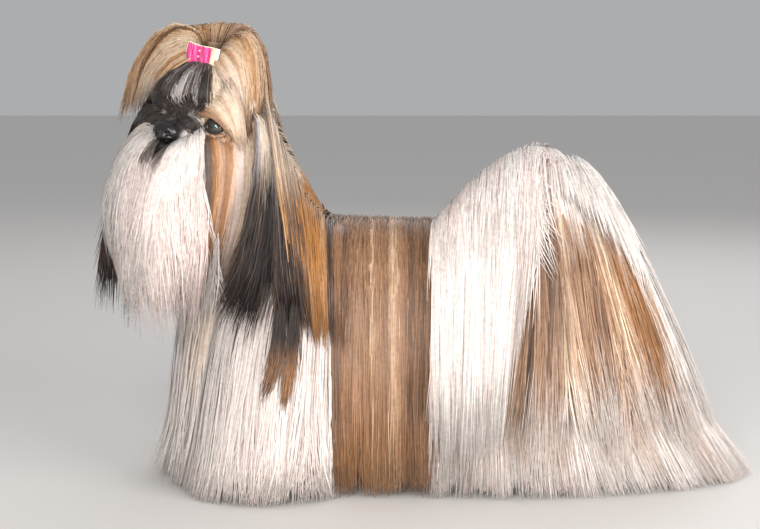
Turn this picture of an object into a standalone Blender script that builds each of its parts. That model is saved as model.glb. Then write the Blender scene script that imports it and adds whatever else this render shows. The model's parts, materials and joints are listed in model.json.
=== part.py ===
"""A shih tzu in full show coat, life size, standing square with its head turned to its left.

The dog faces -X with its left side towards -Y; +Z is up and the floor is z = 0, in metres.
The coat hangs in falls. A fall is a sheet of hair whose face is a row of Bezier ribs, from the
line where the hair grows (t = 0) to its tips (t = 1), and s runs across the rows of hair.
"""

import math
import random

import bmesh
import bpy
import numpy as np
from mathutils import Matrix, Vector

# Clearances
GAP = 0.0003
HALF_GAP = GAP / 2
COAT_GAP = 0.0008
FLOOR_CLEAR = 0.0015
SKIRT_CLEAR = 0.003
SHEET_SPAN = 0.08
CUTTER = 2.0

# Coat: depths under the face of a fall, which its bulk multiplies, and the shape of a lock
CORE_DEPTH = 0.0125
ROOT_SINK = 0.0045
LOCK_THICK = 0.0026
STAGGER = 0.0024
LEAST_WIDTH = 0.009
OUTER = (0.0, 0.0)
INNER = (0.0058, 0.0004)
LOCK_SHARE = 1.16
LOCK_RINGS = ((0.0, 0.70), (0.14, 0.97), (0.38, 1.0), (0.72, 0.94), (1.0, 0.46))
ROOT_SHARE = 0.14
RISE_FROM = 0.62
CORE_REACH = 0.5
HEAD_BULK = 0.55

# Trunk and its coat
WITHERS = 0.262
LOIN = 0.257
SHOULDER_X = -0.080
LOIN_X = 0.060
SKIRT_HALF = 0.119
CHEST_SLAB_HALF = 0.038
RUMP_SLAB_HALF = 0.034
BACK_REACH = 0.90
FALL_REACH = 0.80
REAR_REACH = 0.334
RUMP_TURN = math.radians(66)
BIB_FRONT = -0.248

# Stations of the bare trunk: x, middle height, half height, half width
TRUNK = (
    (-0.196, 0.190, 0.014, 0.016),
    (-0.186, 0.190, 0.040, 0.036),
    (-0.160, 0.184, 0.060, 0.056),
    (-0.110, 0.178, 0.068, 0.068),
    (-0.050, 0.178, 0.066, 0.072),
    (0.010, 0.182, 0.060, 0.070),
    (0.060, 0.186, 0.056, 0.066),
    (0.110, 0.186, 0.055, 0.062),
    (0.148, 0.190, 0.044, 0.048),
    (0.164, 0.196, 0.020, 0.022),
)
TRUNK_SIDES = 16

# Legs, left ones: rows from the top down of x, y, z, half length, half width
FORELEG = (
    (-0.128, 0.064, 0.205, 0.036, 0.024),
    (-0.124, 0.062, 0.150, 0.028, 0.022),
    (-0.126, 0.064, 0.095, 0.017, 0.015),
    (-0.130, 0.065, 0.045, 0.014, 0.013),
    (-0.136, 0.066, 0.022, 0.020, 0.017),
    (-0.139, 0.066, 0.008, 0.024, 0.019),
    (-0.139, 0.066, 0.000, 0.021, 0.016),
)
HINDLEG = (
    (0.112, 0.056, 0.190, 0.036, 0.020),
    (0.116, 0.058, 0.140, 0.034, 0.022),
    (0.140, 0.062, 0.095, 0.022, 0.016),
    (0.168, 0.064, 0.060, 0.014, 0.012),
    (0.168, 0.065, 0.024, 0.018, 0.015),
    (0.163, 0.066, 0.008, 0.024, 0.019),
    (0.162, 0.066, 0.000, 0.021, 0.016),
)
LEG_SIDES = 10

# Head: its centre, how far it turns from facing -Y towards -X, how far the nose lifts, and its tilt
HEAD = Vector((-0.2095, -0.035, 0.350))
HEAD_TURN = math.radians(27)
HEAD_LIFT = math.radians(5)
HEAD_TILT = math.radians(7)
SKULL_RADII = (0.055, 0.052, 0.054)
EYE_RADIUS = 0.0105
EYE_PLACE = (0.036, 0.002, 0.038)
NOSE_PLACE = (0.0, -0.009, 0.070)
NOSE_RADII = (0.0135, 0.0100, 0.0085)
BAND_PLACE = (-0.001, 0.067, 0.006)
BAND_RADIUS = 0.0085
BAND_HEIGHT = 0.005
BROW_UP = 0.015
LID_SIDES = 12
LID_HALF_WIDTH = 0.0105
LID_HALF_HEIGHT = 0.0064
LID_THICK = 0.0036
BOW_HALF_WIDTH = 0.0165
BOW_HALF_HEIGHT = 0.0105
BOW_SIDES = 10
BELL_SWAY = -0.20
STEM_LINE = ((-0.020, 0.010), (-0.006, 0.0065), (0.006, 0.0065), (0.014, 0.010))
BOW_PLACE = (-0.001, 0.067, 0.0195)

# Tail
TAIL_LINE = (
    (0.140, 0.000, 0.236, 0.016),
    (0.152, 0.000, 0.272, 0.015),
    (0.134, -0.002, 0.296, 0.014),
    (0.108, -0.006, 0.302, 0.013),
    (0.080, -0.014, 0.294, 0.011),
    (0.056, -0.030, 0.276, 0.009),
    (0.040, -0.052, 0.262, 0.006),
)
TAIL_SPLIT_X = 0.118
TAIL_SIDES = 10

# Neck: x, y, z and radius, from inside the chest to inside the head
NECK_SIDES = 12
NECK_LINE = (
    (-0.130, 0.000, 0.200, 0.054),
    (-0.142, -0.002, 0.240, 0.052),
    (-0.160, -0.008, 0.285, 0.046),
    (-0.182, -0.018, 0.320, 0.042),
    (-0.198, -0.028, 0.345, 0.036),
)

COLOURS = {
    "gold": (0.36, 0.19, 0.085),
    "white": (0.80, 0.76, 0.70),
    "dark": (0.045, 0.035, 0.032),
    "leather": (0.012, 0.011, 0.012),
    "eye": (0.03, 0.018, 0.012),
    "pink": (0.75, 0.02, 0.18),
    "elastic": (0.10, 0.09, 0.08),
}


def lerp(a, b, u):
    return a + (b - a) * u


def vec(*values):
    return np.array(values, float)


def head_axes():
    """The head's left, up and forward directions in the dog's frame."""
    forward = Vector((
        -math.sin(HEAD_TURN) * math.cos(HEAD_LIFT),
        -math.cos(HEAD_TURN) * math.cos(HEAD_LIFT),
        math.sin(HEAD_LIFT),
    ))
    level_left = Vector((math.cos(HEAD_TURN), -math.sin(HEAD_TURN), 0))
    level_up = forward.cross(level_left)
    tilt = Matrix.Rotation(-HEAD_TILT, 3, forward)
    return tilt @ level_left, tilt @ level_up, forward


LEFT, UP, FORWARD = head_axes()
HEAD_FRAME = Matrix((
    (LEFT.x, UP.x, FORWARD.x, HEAD.x),
    (LEFT.y, UP.y, FORWARD.y, HEAD.y),
    (LEFT.z, UP.z, FORWARD.z, HEAD.z),
    (0, 0, 0, 1),
))


def on_head(left, up, forward):
    """A point given along the head's own axes, in the dog's frame."""
    return np.array(HEAD + LEFT * left + UP * up + FORWARD * forward)


class Fall:
    """A sheet of hanging hair. rib(s) gives the four Bezier points of its face at s.

    inside is a point on its inner side, and bulk is 1 for the body's deep coat and less on the head.
    """

    def __init__(self, rib, inside, bulk=1.0):
        self.rib = rib
        self.inside = np.array(inside, float)
        self.bulk = bulk

    def at(self, s, t):
        a, b, c, d = self.rib(s)
        u = 1 - t
        return a * u**3 + b * 3 * u * u * t + c * 3 * u * t * t + d * t**3

    def frame(self, s, t):
        """The face's point at s, t, the way across the hair, and the way out of the coat."""
        step = 0.02
        point = self.at(s, t)
        across = self.at(s + step, t) - self.at(s - step, t)
        along = self.at(s, min(t + step, 1)) - self.at(s, max(t - step, 0))
        out = np.cross(across, along)
        out /= max(np.linalg.norm(out), 1e-9)
        if np.dot(out, point - self.inside) < 0:
            out = -out
        across -= out * np.dot(across, out)
        return point, across / max(np.linalg.norm(across), 1e-9), out


def drape(top, tip, back_reach, fall_reach, lean=0.5):
    """A rib that runs out level from the top, then falls to the tip."""
    over = vec(lerp(top[0], tip[0], 0.15 * lean), lerp(top[1], tip[1], back_reach), top[2])
    down = vec(
        lerp(top[0], tip[0], 0.55 + 0.2 * lean),
        lerp(top[1], tip[1], fall_reach),
        lerp(top[2], tip[2], 0.50),
    )
    return top, over, down, tip


def torso_fall(side):
    def rib(s):
        top = vec(lerp(SHOULDER_X, LOIN_X, s), 0, lerp(WITHERS, LOIN, s))
        tip = vec(lerp(SHOULDER_X, LOIN_X, s), side * SKIRT_HALF, SKIRT_CLEAR)
        return drape(top, tip, BACK_REACH, FALL_REACH)

    return Fall(rib, (0, 0, 0.13))


def rear_rib(side, turn):
    """A rib of the hind coat; turn goes from the flank (0) round to the back (a right angle)."""
    ahead, aside = math.sin(turn), side * math.cos(turn)
    top = vec(LOIN_X + 0.088 * ahead, 0, lerp(LOIN, 0.249, ahead))
    over = vec(LOIN_X + 0.132 * ahead, 0.107 * aside, lerp(LOIN, 0.226, ahead**2))
    down = vec(LOIN_X + 0.194 * ahead, 0.098 * aside, lerp(0.128, 0.100, ahead))
    tip = vec(LOIN_X + (REAR_REACH - LOIN_X) * ahead, 0.125 * aside, FLOOR_CLEAR)
    return top, over, down, tip


def hip_fall(side):
    """From the loin round to the rump, swept back to the trailing hem of the coat."""
    return Fall(lambda s: rear_rib(side, RUMP_TURN * s), (0.11, 0, 0.13))


def rump_fall():
    """Across the back of the coat. s is -1 at the left thigh and 1 at the right one."""
    def rib(s):
        turn = math.pi / 2 - (math.pi / 2 - RUMP_TURN) * abs(s)
        return rear_rib(math.copysign(1, s), turn)

    return Fall(rib, (0.10, 0, 0.10))


def foreleg_fall(side):
    """The hair round a foreleg. s is the turn from the front, by the outer side, to the back."""

    def ring(turn, centre, radii, z):
        ahead, aside = radii[0] * math.cos(turn), radii[1] * math.sin(turn)
        return vec(centre[0] - ahead, side * (centre[1] + aside), z)

    def rib(s):
        turn = 2 * math.pi * s
        top = ring(turn, (-0.130, 0.050), (0.052, 0.040), 0.214)
        tip = ring(turn, (-0.152, 0.070), (0.084, 0.084), FLOOR_CLEAR)
        upper = lerp(top, tip, 0.62)
        lower = lerp(top, tip, 0.66)
        upper[2], lower[2] = 0.170, 0.064
        return top, upper, lower, tip

    return Fall(rib, (-0.130, side * 0.052, 0.10))


def bib_fall():
    """The chest's hair, from the throat to the floor in front of the forelegs."""

    def rib(s):
        curve, aside = s * s, 0.040 * s
        top = vec(-0.178 + 0.004 * curve, aside, 0.228)
        over = vec(BIB_FRONT - 0.034 + 0.014 * curve, aside, 0.218)
        down = vec(BIB_FRONT - 0.012 + 0.014 * curve, aside, 0.100)
        tip = vec(BIB_FRONT - 0.004 + 0.014 * curve, aside, FLOOR_CLEAR)
        return top, over, down, tip

    return Fall(rib, (-0.13, 0, 0.13))


def neck_fall(side):
    """The crest's hair, which falls over the shoulder outside the trunk's coat."""

    def rib(s):
        crest = lerp(0.388, WITHERS, s) - 0.118 * s * (1 - s)
        top = vec(lerp(-0.158, SHOULDER_X, s), 0, crest)
        over = vec(lerp(-0.140, -0.080, s), side * 0.068, top[2] - 0.002)
        down = vec(lerp(-0.126, -0.080, s), side * 0.114, lerp(0.262, 0.216, s))
        tip = vec(lerp(-0.118, -0.080, s), side * 0.117, lerp(0.150, 0.130, s))
        return top, over, down, tip

    return Fall(rib, (-0.12, 0, 0.22))


def tail_tip_fall():
    """The front of the plume, laid over the left flank."""

    def rib(s):
        rise = math.sin(math.pi / 2 * min(max(s, -0.2), 1.2))
        top = vec(lerp(0.020, TAIL_SPLIT_X, s), lerp(-0.034, -0.004, s), lerp(0.264, 0.329, rise))
        over = vec(lerp(0.008, 0.116, s), -0.085, lerp(0.284, 0.330, rise))
        down = vec(lerp(0.006, 0.104, s), -0.128, lerp(0.190, 0.200, s))
        tip = vec(lerp(0.006, 0.072, s), -0.133, 0.014)
        return top, over, down, tip

    return Fall(rib, (0.08, 0.02, 0.18))


def tail_base_fall():
    """The rest of the plume, which falls behind and over the right flank."""

    def rib(s):
        turn = math.radians(lerp(-96, 100, s))
        ahead, aside = math.cos(turn), math.sin(turn)
        reach = math.hypot(0.177 * ahead, 0.136 * aside)
        short = min(max((-math.degrees(turn) - 28) / 24, 0), 1)
        top = vec(0.124 + 0.012 * ahead, 0.006 * aside, 0.330)
        over = vec(0.130 + 0.056 * ahead, 0.070 * aside, 0.324)
        down = vec(0.130 + 0.70 * reach * ahead, 0.126 * aside, lerp(0.196, 0.262, short))
        tip = vec(0.126 + reach * ahead, 0.133 * aside, lerp(lerp(0.070, 0.020, s), 0.185, short))
        return top, over, down, tip

    return Fall(rib, (0.12, 0.0, 0.15))


def ear_fall(side):
    """side is +1 for the dog's left ear. s runs from the front edge of the ear to its back."""

    def rib(s):
        front = lerp(0.012, -0.016, s)
        top = on_head(side * 0.054, 0.026, front)
        over = on_head(side * 0.078, 0.016, front)
        if side > 0:
            down = vec(lerp(-0.178, -0.122, s), lerp(-0.128, -0.124, s), 0.262)
            tip = vec(lerp(-0.178, -0.108, s), -0.129, lerp(0.150, 0.096, s))
        else:
            down = vec(lerp(-0.318, -0.294, s), lerp(-0.040, 0.034, s), 0.262)
            tip = vec(lerp(-0.326, -0.282, s), lerp(-0.030, 0.035, s), lerp(0.176, 0.150, s))
        return top, over, down, tip

    return Fall(rib, np.array(HEAD) - vec(0, 0, 0.08), HEAD_BULK)


def bell(turn, radius, down):
    """A point round the bell of hair under the nose; turn is 0 straight ahead and grows to the left."""
    out = np.array(LEFT * math.sin(turn) + FORWARD * math.cos(turn))
    out[2] = 0
    return on_head(0, -0.020, 0.049) + out * radius + vec(BELL_SWAY * down, 0, -down)


def moustache_fall(side):
    """From beside the nose out over the cheeks and down. s runs from the lips back to the cheek."""

    def rib(s):
        turn = math.radians(side * lerp(16, 96, s))
        ahead = math.cos(turn)
        top = on_head(side * lerp(0.007, 0.016, s), lerp(-0.014, -0.004, s), lerp(0.061, 0.050, s))
        over = bell(math.radians(side * lerp(27, 96, s)), lerp(0.052, 0.040, ahead), -0.018)
        down = bell(math.radians(side * lerp(9, 100, s)), lerp(0.073, 0.060, ahead), 0.060)
        tip = bell(math.radians(side * lerp(-2, 100, s)), 0.046, 0.0)
        tip += vec(-0.012, 0, lerp(0.196, 0.172, ahead**2) - tip[2])
        return top, over, down, tip

    return Fall(rib, on_head(0, -0.020, 0.049) - vec(0, 0, 0.03), HEAD_BULK)


def beard_fall():
    """From the chin straight down, inside the moustache. s runs from the dog's right to its left."""

    def rib(s):
        turn = math.radians(lerp(-42, 42, s))
        top = on_head(lerp(-0.012, 0.012, s), -0.037, 0.050)
        tip = bell(turn, 0.044, 0.0)
        tip += vec(-0.012, 0, 0.180 - tip[2])
        return top, bell(turn, 0.040, 0.022), bell(turn, 0.054, 0.064), tip

    return Fall(rib, on_head(0, -0.020, 0.030) - vec(0, 0, 0.05), HEAD_BULK)


def cheek_fall(side):
    """s runs from the corner of the eye back to the ear."""

    def rib(s):
        top = on_head(side * lerp(0.040, 0.050, s), 0.000, lerp(0.036, 0.010, s))
        over = on_head(side * lerp(0.062, 0.068, s), -0.012, lerp(0.040, 0.012, s))
        down = on_head(side * lerp(0.066, 0.072, s), -0.070, lerp(0.034, 0.004, s))
        tip = on_head(side * lerp(0.046, 0.052, s), -0.150, lerp(0.026, 0.000, s))
        return top, over, down, tip

    return Fall(rib, np.array(HEAD) - vec(0, 0, 0.05), HEAD_BULK)


def forehead_fall():
    """From the brow up to the band. t runs upwards here."""

    def rib(s):
        spread = math.sqrt(max(1 - (0.86 * s) ** 2, 0.05))
        top = on_head(0.052 * s, BROW_UP, 0.052 * spread)
        over = on_head(0.058 * s, 0.034, 0.066 * spread)
        down = on_head(0.036 * s, 0.060, 0.046 * spread)
        tip = on_head(BAND_PLACE[0] + 0.007 * s, BAND_PLACE[1] - 0.003, BAND_PLACE[2] + 0.009 * spread)
        return top, over, down, tip

    return Fall(rib, HEAD, HEAD_BULK)


def topknot_fall():
    """Up from the band, over and down round the sides and back of the head."""

    def rib(s):
        turn = math.radians(lerp(-38, 212, s))
        out = np.array(LEFT * math.cos(turn) - FORWARD * math.sin(turn))
        band = on_head(*BAND_PLACE)
        up = np.array(UP)
        to_left = max(math.cos(turn), 0)
        top = band + out * 0.003 + up * 0.006
        over = band + out * 0.034 + up * lerp(0.058, 0.066, to_left)
        down = np.array(HEAD) + out * lerp(0.100, 0.090, to_left) + up * 0.078
        tip = np.array(HEAD) + out * lerp(0.078, 0.070, to_left) + up * -0.040
        return top, over, down, tip

    return Fall(rib, HEAD, HEAD_BULK)


def clear_scene():
    for thing in list(bpy.data.objects):
        bpy.data.objects.remove(thing)


def solid(name, points, faces):
    """One closed object whose faces point outwards."""
    shape = bmesh.new()
    corners = [shape.verts.new(Vector(p)) for p in points]
    for face in faces:
        shape.faces.new([corners[i] for i in face])
    bmesh.ops.recalc_face_normals(shape, faces=shape.faces)
    return linked(name, shape)


def linked(name, shape):
    mesh = bpy.data.meshes.new(name)
    shape.to_mesh(mesh)
    shape.free()
    thing = bpy.data.objects.new(name, mesh)
    bpy.context.scene.collection.objects.link(thing)
    return thing


def loft(name, rings):
    """A closed body through rings that have as many points each."""
    count = len(rings[0])
    points = [p for ring in rings for p in ring]
    faces = [tuple(range(count))[::-1]]
    for row in range(len(rings) - 1):
        for i in range(count):
            j = (i + 1) % count
            faces.append((row * count + i, row * count + j, (row + 1) * count + j, (row + 1) * count + i))
    faces.append(tuple(range((len(rings) - 1) * count, len(rings) * count)))
    return solid(name, points, faces)


def ellipse_ring(centre, first, second, sides, power=1.0):
    """Points round centre; power under 1 makes the ring squarer."""
    ring = []
    for i in range(sides):
        turn = 2 * math.pi * i / sides
        c, s = math.cos(turn), math.sin(turn)
        c = math.copysign(abs(c) ** power, c)
        s = math.copysign(abs(s) ** power, s)
        ring.append(np.array(centre) + np.array(first) * c + np.array(second) * s)
    return ring


def trunk(grow=0.0):
    rings = [
        ellipse_ring((x, 0, z), (0, half_width + grow, 0), (0, 0, half_height + grow), TRUNK_SIDES, 0.9)
        for x, z, half_height, half_width in TRUNK
    ]
    return loft("trunk", rings)


def leg(rows, side):
    rings = [
        ellipse_ring((x, side * y, z), (half_length, 0, 0), (0, half_width, 0), LEG_SIDES)
        for x, y, z, half_length, half_width in rows
    ]
    return loft("leg", rings)


def tube(name, stations, sides, aside=(0, 1, 0)):
    """A closed round body along stations of x, y, z and radius."""
    centres = [vec(*station[:3]) for station in stations]
    rings = []
    for i, station in enumerate(stations):
        ahead = centres[min(i + 1, len(centres) - 1)] - centres[max(i - 1, 0)]
        ahead /= np.linalg.norm(ahead)
        first = np.array(aside, float) - ahead * np.dot(aside, ahead)
        first /= np.linalg.norm(first)
        second = np.cross(ahead, first)
        rings.append(ellipse_ring(centres[i], first * station[3], second * station[3], sides))
    return loft(name, rings)


def ring_tube(name, points, radius, sides):
    """A closed tube round a closed loop of points."""
    centre = sum(points) / len(points)
    rings = []
    for i, point in enumerate(points):
        ahead = points[(i + 1) % len(points)] - points[i - 1]
        ahead /= np.linalg.norm(ahead)
        first = point - centre
        first -= ahead * np.dot(first, ahead)
        first /= np.linalg.norm(first)
        rings.append(ellipse_ring(point, first * radius, np.cross(ahead, first) * radius, sides))
    corners = [corner for ring in rings for corner in ring]
    faces = []
    for row in range(len(rings)):
        after = (row + 1) % len(rings)
        for i in range(sides):
            j = (i + 1) % sides
            faces.append((row * sides + i, row * sides + j, after * sides + j, after * sides + i))
    return solid(name, corners, faces)


def ball(name, centre, radii, segments=20, rings=12, frame=None):
    """An ellipsoid whose radii lie along the axes of frame."""
    shape = bmesh.new()
    bmesh.ops.create_uvsphere(shape, u_segments=segments, v_segments=rings, radius=1)
    place = Matrix.Translation(centre) @ Matrix.Diagonal((*radii, 1))
    shape.transform((frame or Matrix.Identity(4)) @ place)
    return linked(name, shape)


def sheet_solid(name, fall, across, down, counts, depths, grow=0.0, under=0.0):
    """A closed slab of a fall, across and down being its ranges of s and t.

    depths are its thickness at the top and at the bottom, and under is how deep its outer side lies.
    grow makes it a cutter, larger all round.
    """
    columns, rows = counts
    wider = grow / SHEET_SPAN * (across[1] - across[0])
    across = (across[0] - wider, across[1] + wider)
    down = (down[0] - grow / SHEET_SPAN, down[1] + grow / SHEET_SPAN)
    depths = (depths[0] + 2 * grow, depths[1] + 2 * grow)
    points = []
    for depth_share in (0, 1):
        for i in range(columns + 1):
            s = lerp(across[0], across[1], i / columns)
            for j in range(rows + 1):
                t = lerp(down[0], down[1], j / rows)
                point, _, out = fall.frame(s, t)
                depth = lerp(depths[0], depths[1], j / rows)
                corner = point + out * (grow - under - depth * depth_share)
                corner[2] = max(corner[2], FLOOR_CLEAR - grow)
                points.append(corner)
    layer = (columns + 1) * (rows + 1)

    def at(k, i, j):
        return k * layer + i * (rows + 1) + j

    faces = []
    for i in range(columns):
        for j in range(rows):
            faces.append((at(0, i, j), at(0, i + 1, j), at(0, i + 1, j + 1), at(0, i, j + 1)))
            faces.append((at(1, i, j), at(1, i, j + 1), at(1, i + 1, j + 1), at(1, i + 1, j)))
        for j in (0, rows):
            faces.append((at(0, i, j), at(0, i + 1, j), at(1, i + 1, j), at(1, i, j)))
    for j in range(rows):
        for i in (0, columns):
            faces.append((at(0, i, j), at(0, i, j + 1), at(1, i, j + 1), at(1, i, j)))
    return solid(name, points, faces)


def lock(fall, s, step, reach, depths, drift=0.0):
    """One flat, tapered lock of hair that follows the fall over the t range of reach.

    It is about step wide in s, and its tip drifts aside in s. depths are how far its crest lies
    under the face of the fall, along most of its length and at its tip.
    """
    rings = []
    for down, width in LOCK_RINGS:
        t = lerp(reach[0], reach[1], down)
        middle = s + drift * down * down
        span = np.linalg.norm(fall.at(middle + step / 2, t) - fall.at(middle - step / 2, t))
        narrow = LEAST_WIDTH * fall.bulk
        half = step * LOCK_SHARE / 2 * width * max(1, narrow / max(span, narrow / 3))
        rise = min(max((down - RISE_FROM) / (1 - RISE_FROM), 0), 1)
        sunk = max(1 - down / ROOT_SHARE, 0)
        depth = lerp(lerp(depths[0], depths[1], rise), CORE_DEPTH + ROOT_SINK, sunk)
        thick = LOCK_THICK * (0.5 + 0.5 * width)
        ring = []
        for aside, deeper in ((-half, thick), (0, 0), (half, thick)):
            point, _, out = fall.frame(middle + aside, t)
            point = point - out * (depth + deeper) * fall.bulk
            point[2] = max(point[2], FLOOR_CLEAR)
            ring.append(point)
        rings.append(ring)
    return loft("lock", rings)


def tier(fall, across, count, roots, tips, depths, seed):
    """A row of locks side by side, each a little different. roots and tips are ranges of t."""
    draw = random.Random(seed)
    step = (across[1] - across[0]) / count
    locks = []
    for i in range(count):
        s = across[0] + step * (i + 0.5 + draw.uniform(-0.08, 0.08))
        reach = (draw.uniform(*roots), draw.uniform(*tips))
        deeper = STAGGER * (i % 2)
        deep = (depths[0] + deeper, depths[1] + deeper)
        locks.append(lock(fall, s, step, reach, deep, step * draw.uniform(-0.2, 0.2)))
    return locks


def half_space(point, away):
    """A box so large that its face through the point acts as a plane; it lies on the away side."""
    shape = bmesh.new()
    bmesh.ops.create_cube(shape, size=CUTTER)
    turn = Vector(away).to_track_quat("Z", "Y").to_matrix().to_4x4()
    shape.transform(Matrix.Translation(point) @ turn @ Matrix.Translation((0, 0, CUTTER / 2)))
    return linked("half", shape)


def trim(thing, planes):
    """Keeps what lies towards the given way of each plane, which is a point and that way."""
    cutters = [half_space(point, [-step for step in towards]) for point, towards in planes]
    return combine(thing, cutters, "DIFFERENCE")


def combine(thing, others, operation="UNION"):
    """Joins the others to thing, or cuts them from it, in one Boolean, and removes them."""
    group = bpy.data.collections.new(thing.name + "_pieces")
    bpy.context.scene.collection.children.link(group)
    for other in others:
        bpy.context.scene.collection.objects.unlink(other)
        group.objects.link(other)
    boolean = thing.modifiers.new("combine", "BOOLEAN")
    boolean.operation = operation
    boolean.operand_type = "COLLECTION"
    boolean.collection = group
    boolean.solver = "MANIFOLD"
    if not apply_modifiers(thing):
        boolean.solver = "EXACT"
        apply_modifiers(thing, always=True)
    for other in others:
        bpy.data.objects.remove(other)
    bpy.data.collections.remove(group)
    return thing


def apply_modifiers(thing, always=False):
    """Says whether the modifiers left a shape, which is then the object's own."""
    bpy.context.view_layer.update()
    graph = bpy.context.evaluated_depsgraph_get()
    made = bpy.data.meshes.new_from_object(thing.evaluated_get(graph))
    if not made.polygons and not always:
        bpy.data.meshes.remove(made)
        return False
    thing.modifiers.clear()
    thing.data = made
    return True


def keep_largest(thing):
    """Keeps the closed surface with the largest volume and drops loose scraps."""
    shape = bmesh.new()
    shape.from_mesh(thing.data)
    bmesh.ops.triangulate(shape, faces=shape.faces)
    unseen = set(shape.faces)
    islands = []
    while unseen:
        reached = [unseen.pop()]
        island = set(reached)
        while reached:
            for edge in reached.pop().edges:
                for face in edge.link_faces:
                    if face in unseen:
                        unseen.remove(face)
                        island.add(face)
                        reached.append(face)
        islands.append(island)
    if len(islands) > 1:
        kept = max(islands, key=volume_within)
        bmesh.ops.delete(shape, geom=[face for face in shape.faces if face not in kept], context="FACES")
    shape.to_mesh(thing.data)
    shape.free()
    return thing


def volume_within(faces):
    return sum(
        face.verts[0].co.dot(face.verts[1].co.cross(face.verts[2].co)) / 6 for face in faces
    )


def finish(thing, name, colour, roughness=0.6):
    """Names the node and gives it its material."""
    keep_largest(thing)
    thing.name = name
    thing.data.name = name
    material = bpy.data.materials.new(name)
    material.use_nodes = True
    shader = material.node_tree.nodes["Principled BSDF"]
    shader.inputs["Base Color"].default_value = (*COLOURS[colour], 1)
    shader.inputs["Roughness"].default_value = roughness
    shader.inputs["Metallic"].default_value = 0
    thing.data.materials.clear()
    thing.data.materials.append(material)
    return thing


def side_name(part, side):
    """side is -1 for the dog's left and 1 for its right, as Y runs."""
    return part + ("_left" if side < 0 else "_right")


def core(fall, across, down, counts, thick):
    """The solid middle of a coat, which the locks are rooted in."""
    return sheet_solid(
        "core", fall, across, down, counts, (thick, thick * 0.6), under=CORE_DEPTH * fall.bulk
    )


def torso(side):
    planes = (
        ((SHOULDER_X + HALF_GAP, 0, 0), (1, 0, 0)),
        ((LOIN_X - HALF_GAP, 0, 0), (-1, 0, 0)),
        ((0, side * HALF_GAP, 0), (0, side, 0)),
    )
    fall = torso_fall(side)
    pieces = [core(fall, (-0.1, 1.1), (-0.02, CORE_REACH), (3, 5), 0.014)]
    pieces += tier(fall, (-0.02, 1.02), 6, (0.36, 0.43), (0.96, 0.995), INNER, 21 + side)
    pieces += tier(fall, (-0.02, 1.02), 4, (0.0, 0.03), (0.52, 0.70), OUTER, 31 + side)
    body = trim(combine(trunk(), pieces), planes)
    return finish(body, side_name("torso", side), "gold")


def bib_space(grow):
    return sheet_solid("bib", bib_fall(), (-0.95, 0.95), (0.0, 0.5), (3, 5), (0.030, 0.024), grow)


def chest():
    planes = (
        ((SHOULDER_X - HALF_GAP, 0, 0), (-1, 0, 0)),
        ((0, CHEST_SLAB_HALF, 0), (0, -1, 0)),
        ((0, -CHEST_SLAB_HALF, 0), (0, 1, 0)),
    )
    fall = bib_fall()
    pieces = [core(fall, (-1, 1), (0.0, CORE_REACH), (3, 5), 0.020)]
    pieces += tier(fall, (-1, 1), 4, (0.34, 0.42), (0.96, 0.99), INNER, 42)
    pieces += tier(fall, (-1, 1), 3, (0.0, 0.04), (0.55, 0.70), OUTER, 43)
    body = trim(combine(trunk(), pieces), planes)
    return finish(body, "chest", "white")


def rump_slab(grow=0.0):
    """The middle of the trunk behind the loin, between the thighs."""
    planes = (
        ((LOIN_X + HALF_GAP - grow, 0, 0), (1, 0, 0)),
        ((0, RUMP_SLAB_HALF + grow, 0), (0, -1, 0)),
        ((0, -RUMP_SLAB_HALF - grow, 0), (0, 1, 0)),
    )
    return trim(trunk(grow), planes)


def rump():
    fall = rump_fall()
    pieces = [sheet_solid("core", fall, (-0.8, 0.8), (0.24, 0.60), (4, 4), (0.026, 0.010), under=CORE_DEPTH)]
    pieces += tier(fall, (-0.9, 0.9), 5, (0.27, 0.34), (0.96, 0.99), INNER, 52)
    body = combine(rump_slab(), pieces)
    combine(body, [tail_socket(), hip_edge(-1), hip_edge(1)], "DIFFERENCE")
    return finish(body, "rump", "gold")


def hip_edge(side):
    """What the hip's coat may fill, which the rump's stays clear of."""
    return sheet_solid("edge", hip_fall(side), (0.75, 1.0), (0.0, 1), (2, 6), (0.020, 0.020), GAP)


def tail_socket():
    """The room for the root of the tail, whose flat end rests on its floor."""
    root, after = (np.array(row) for row in TAIL_LINE[:2])
    rows = [root - (after - root) * 0.01, after, np.array(TAIL_LINE[2])]
    return tube("socket", [(*row[:3], row[3] + 2 * GAP) for row in rows], TAIL_SIDES)


def foreleg(side):
    planes = (
        ((SHOULDER_X - HALF_GAP, 0, 0), (-1, 0, 0)),
        ((0, side * (CHEST_SLAB_HALF + GAP), 0), (0, side, 0)),
    )
    fall = foreleg_fall(side)
    pieces = [leg(FORELEG, side), core(fall, (-0.04, 0.48), (0.06, CORE_REACH), (6, 3), 0.010)]
    pieces += tier(fall, (-0.08, 0.52), 6, (0.32, 0.40), (0.96, 0.99), INNER, 71 + side)
    pieces += tier(fall, (-0.08, 0.52), 4, (0.0, 0.04), (0.50, 0.66), OUTER, 81 + side)
    body = trim(combine(trunk(), pieces), planes)
    return finish(body, side_name("foreleg", side), "white")


def hindleg(side):
    fall = hip_fall(side)
    planes = (((LOIN_X + HALF_GAP, 0, 0), (1, 0, 0)), ((0, side * HALF_GAP, 0), (0, side, 0)))
    pieces = [leg(HINDLEG, side), core(fall, (-0.05, 0.95), (0.03, CORE_REACH), (6, 5), 0.016)]
    pieces += tier(fall, (-0.02, 0.98), 9, (0.36, 0.43), (0.96, 0.99), INNER, 101 + side)
    pieces += tier(fall, (-0.02, 0.98), 5, (0.04, 0.08), (0.56, 0.74), OUTER, 111 + side)
    body = trim(combine(trunk(), pieces), planes)
    combine(body, [tail_socket(), rump_slab(GAP)], "DIFFERENCE")
    return finish(body, side_name("hindleg", side), "gold")


def cape_space(side, grow):
    return sheet_solid("cape", neck_fall(side), (-0.12, 1.0), (0.0, 0.7), (4, 5), (0.027, 0.018), grow)


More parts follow.
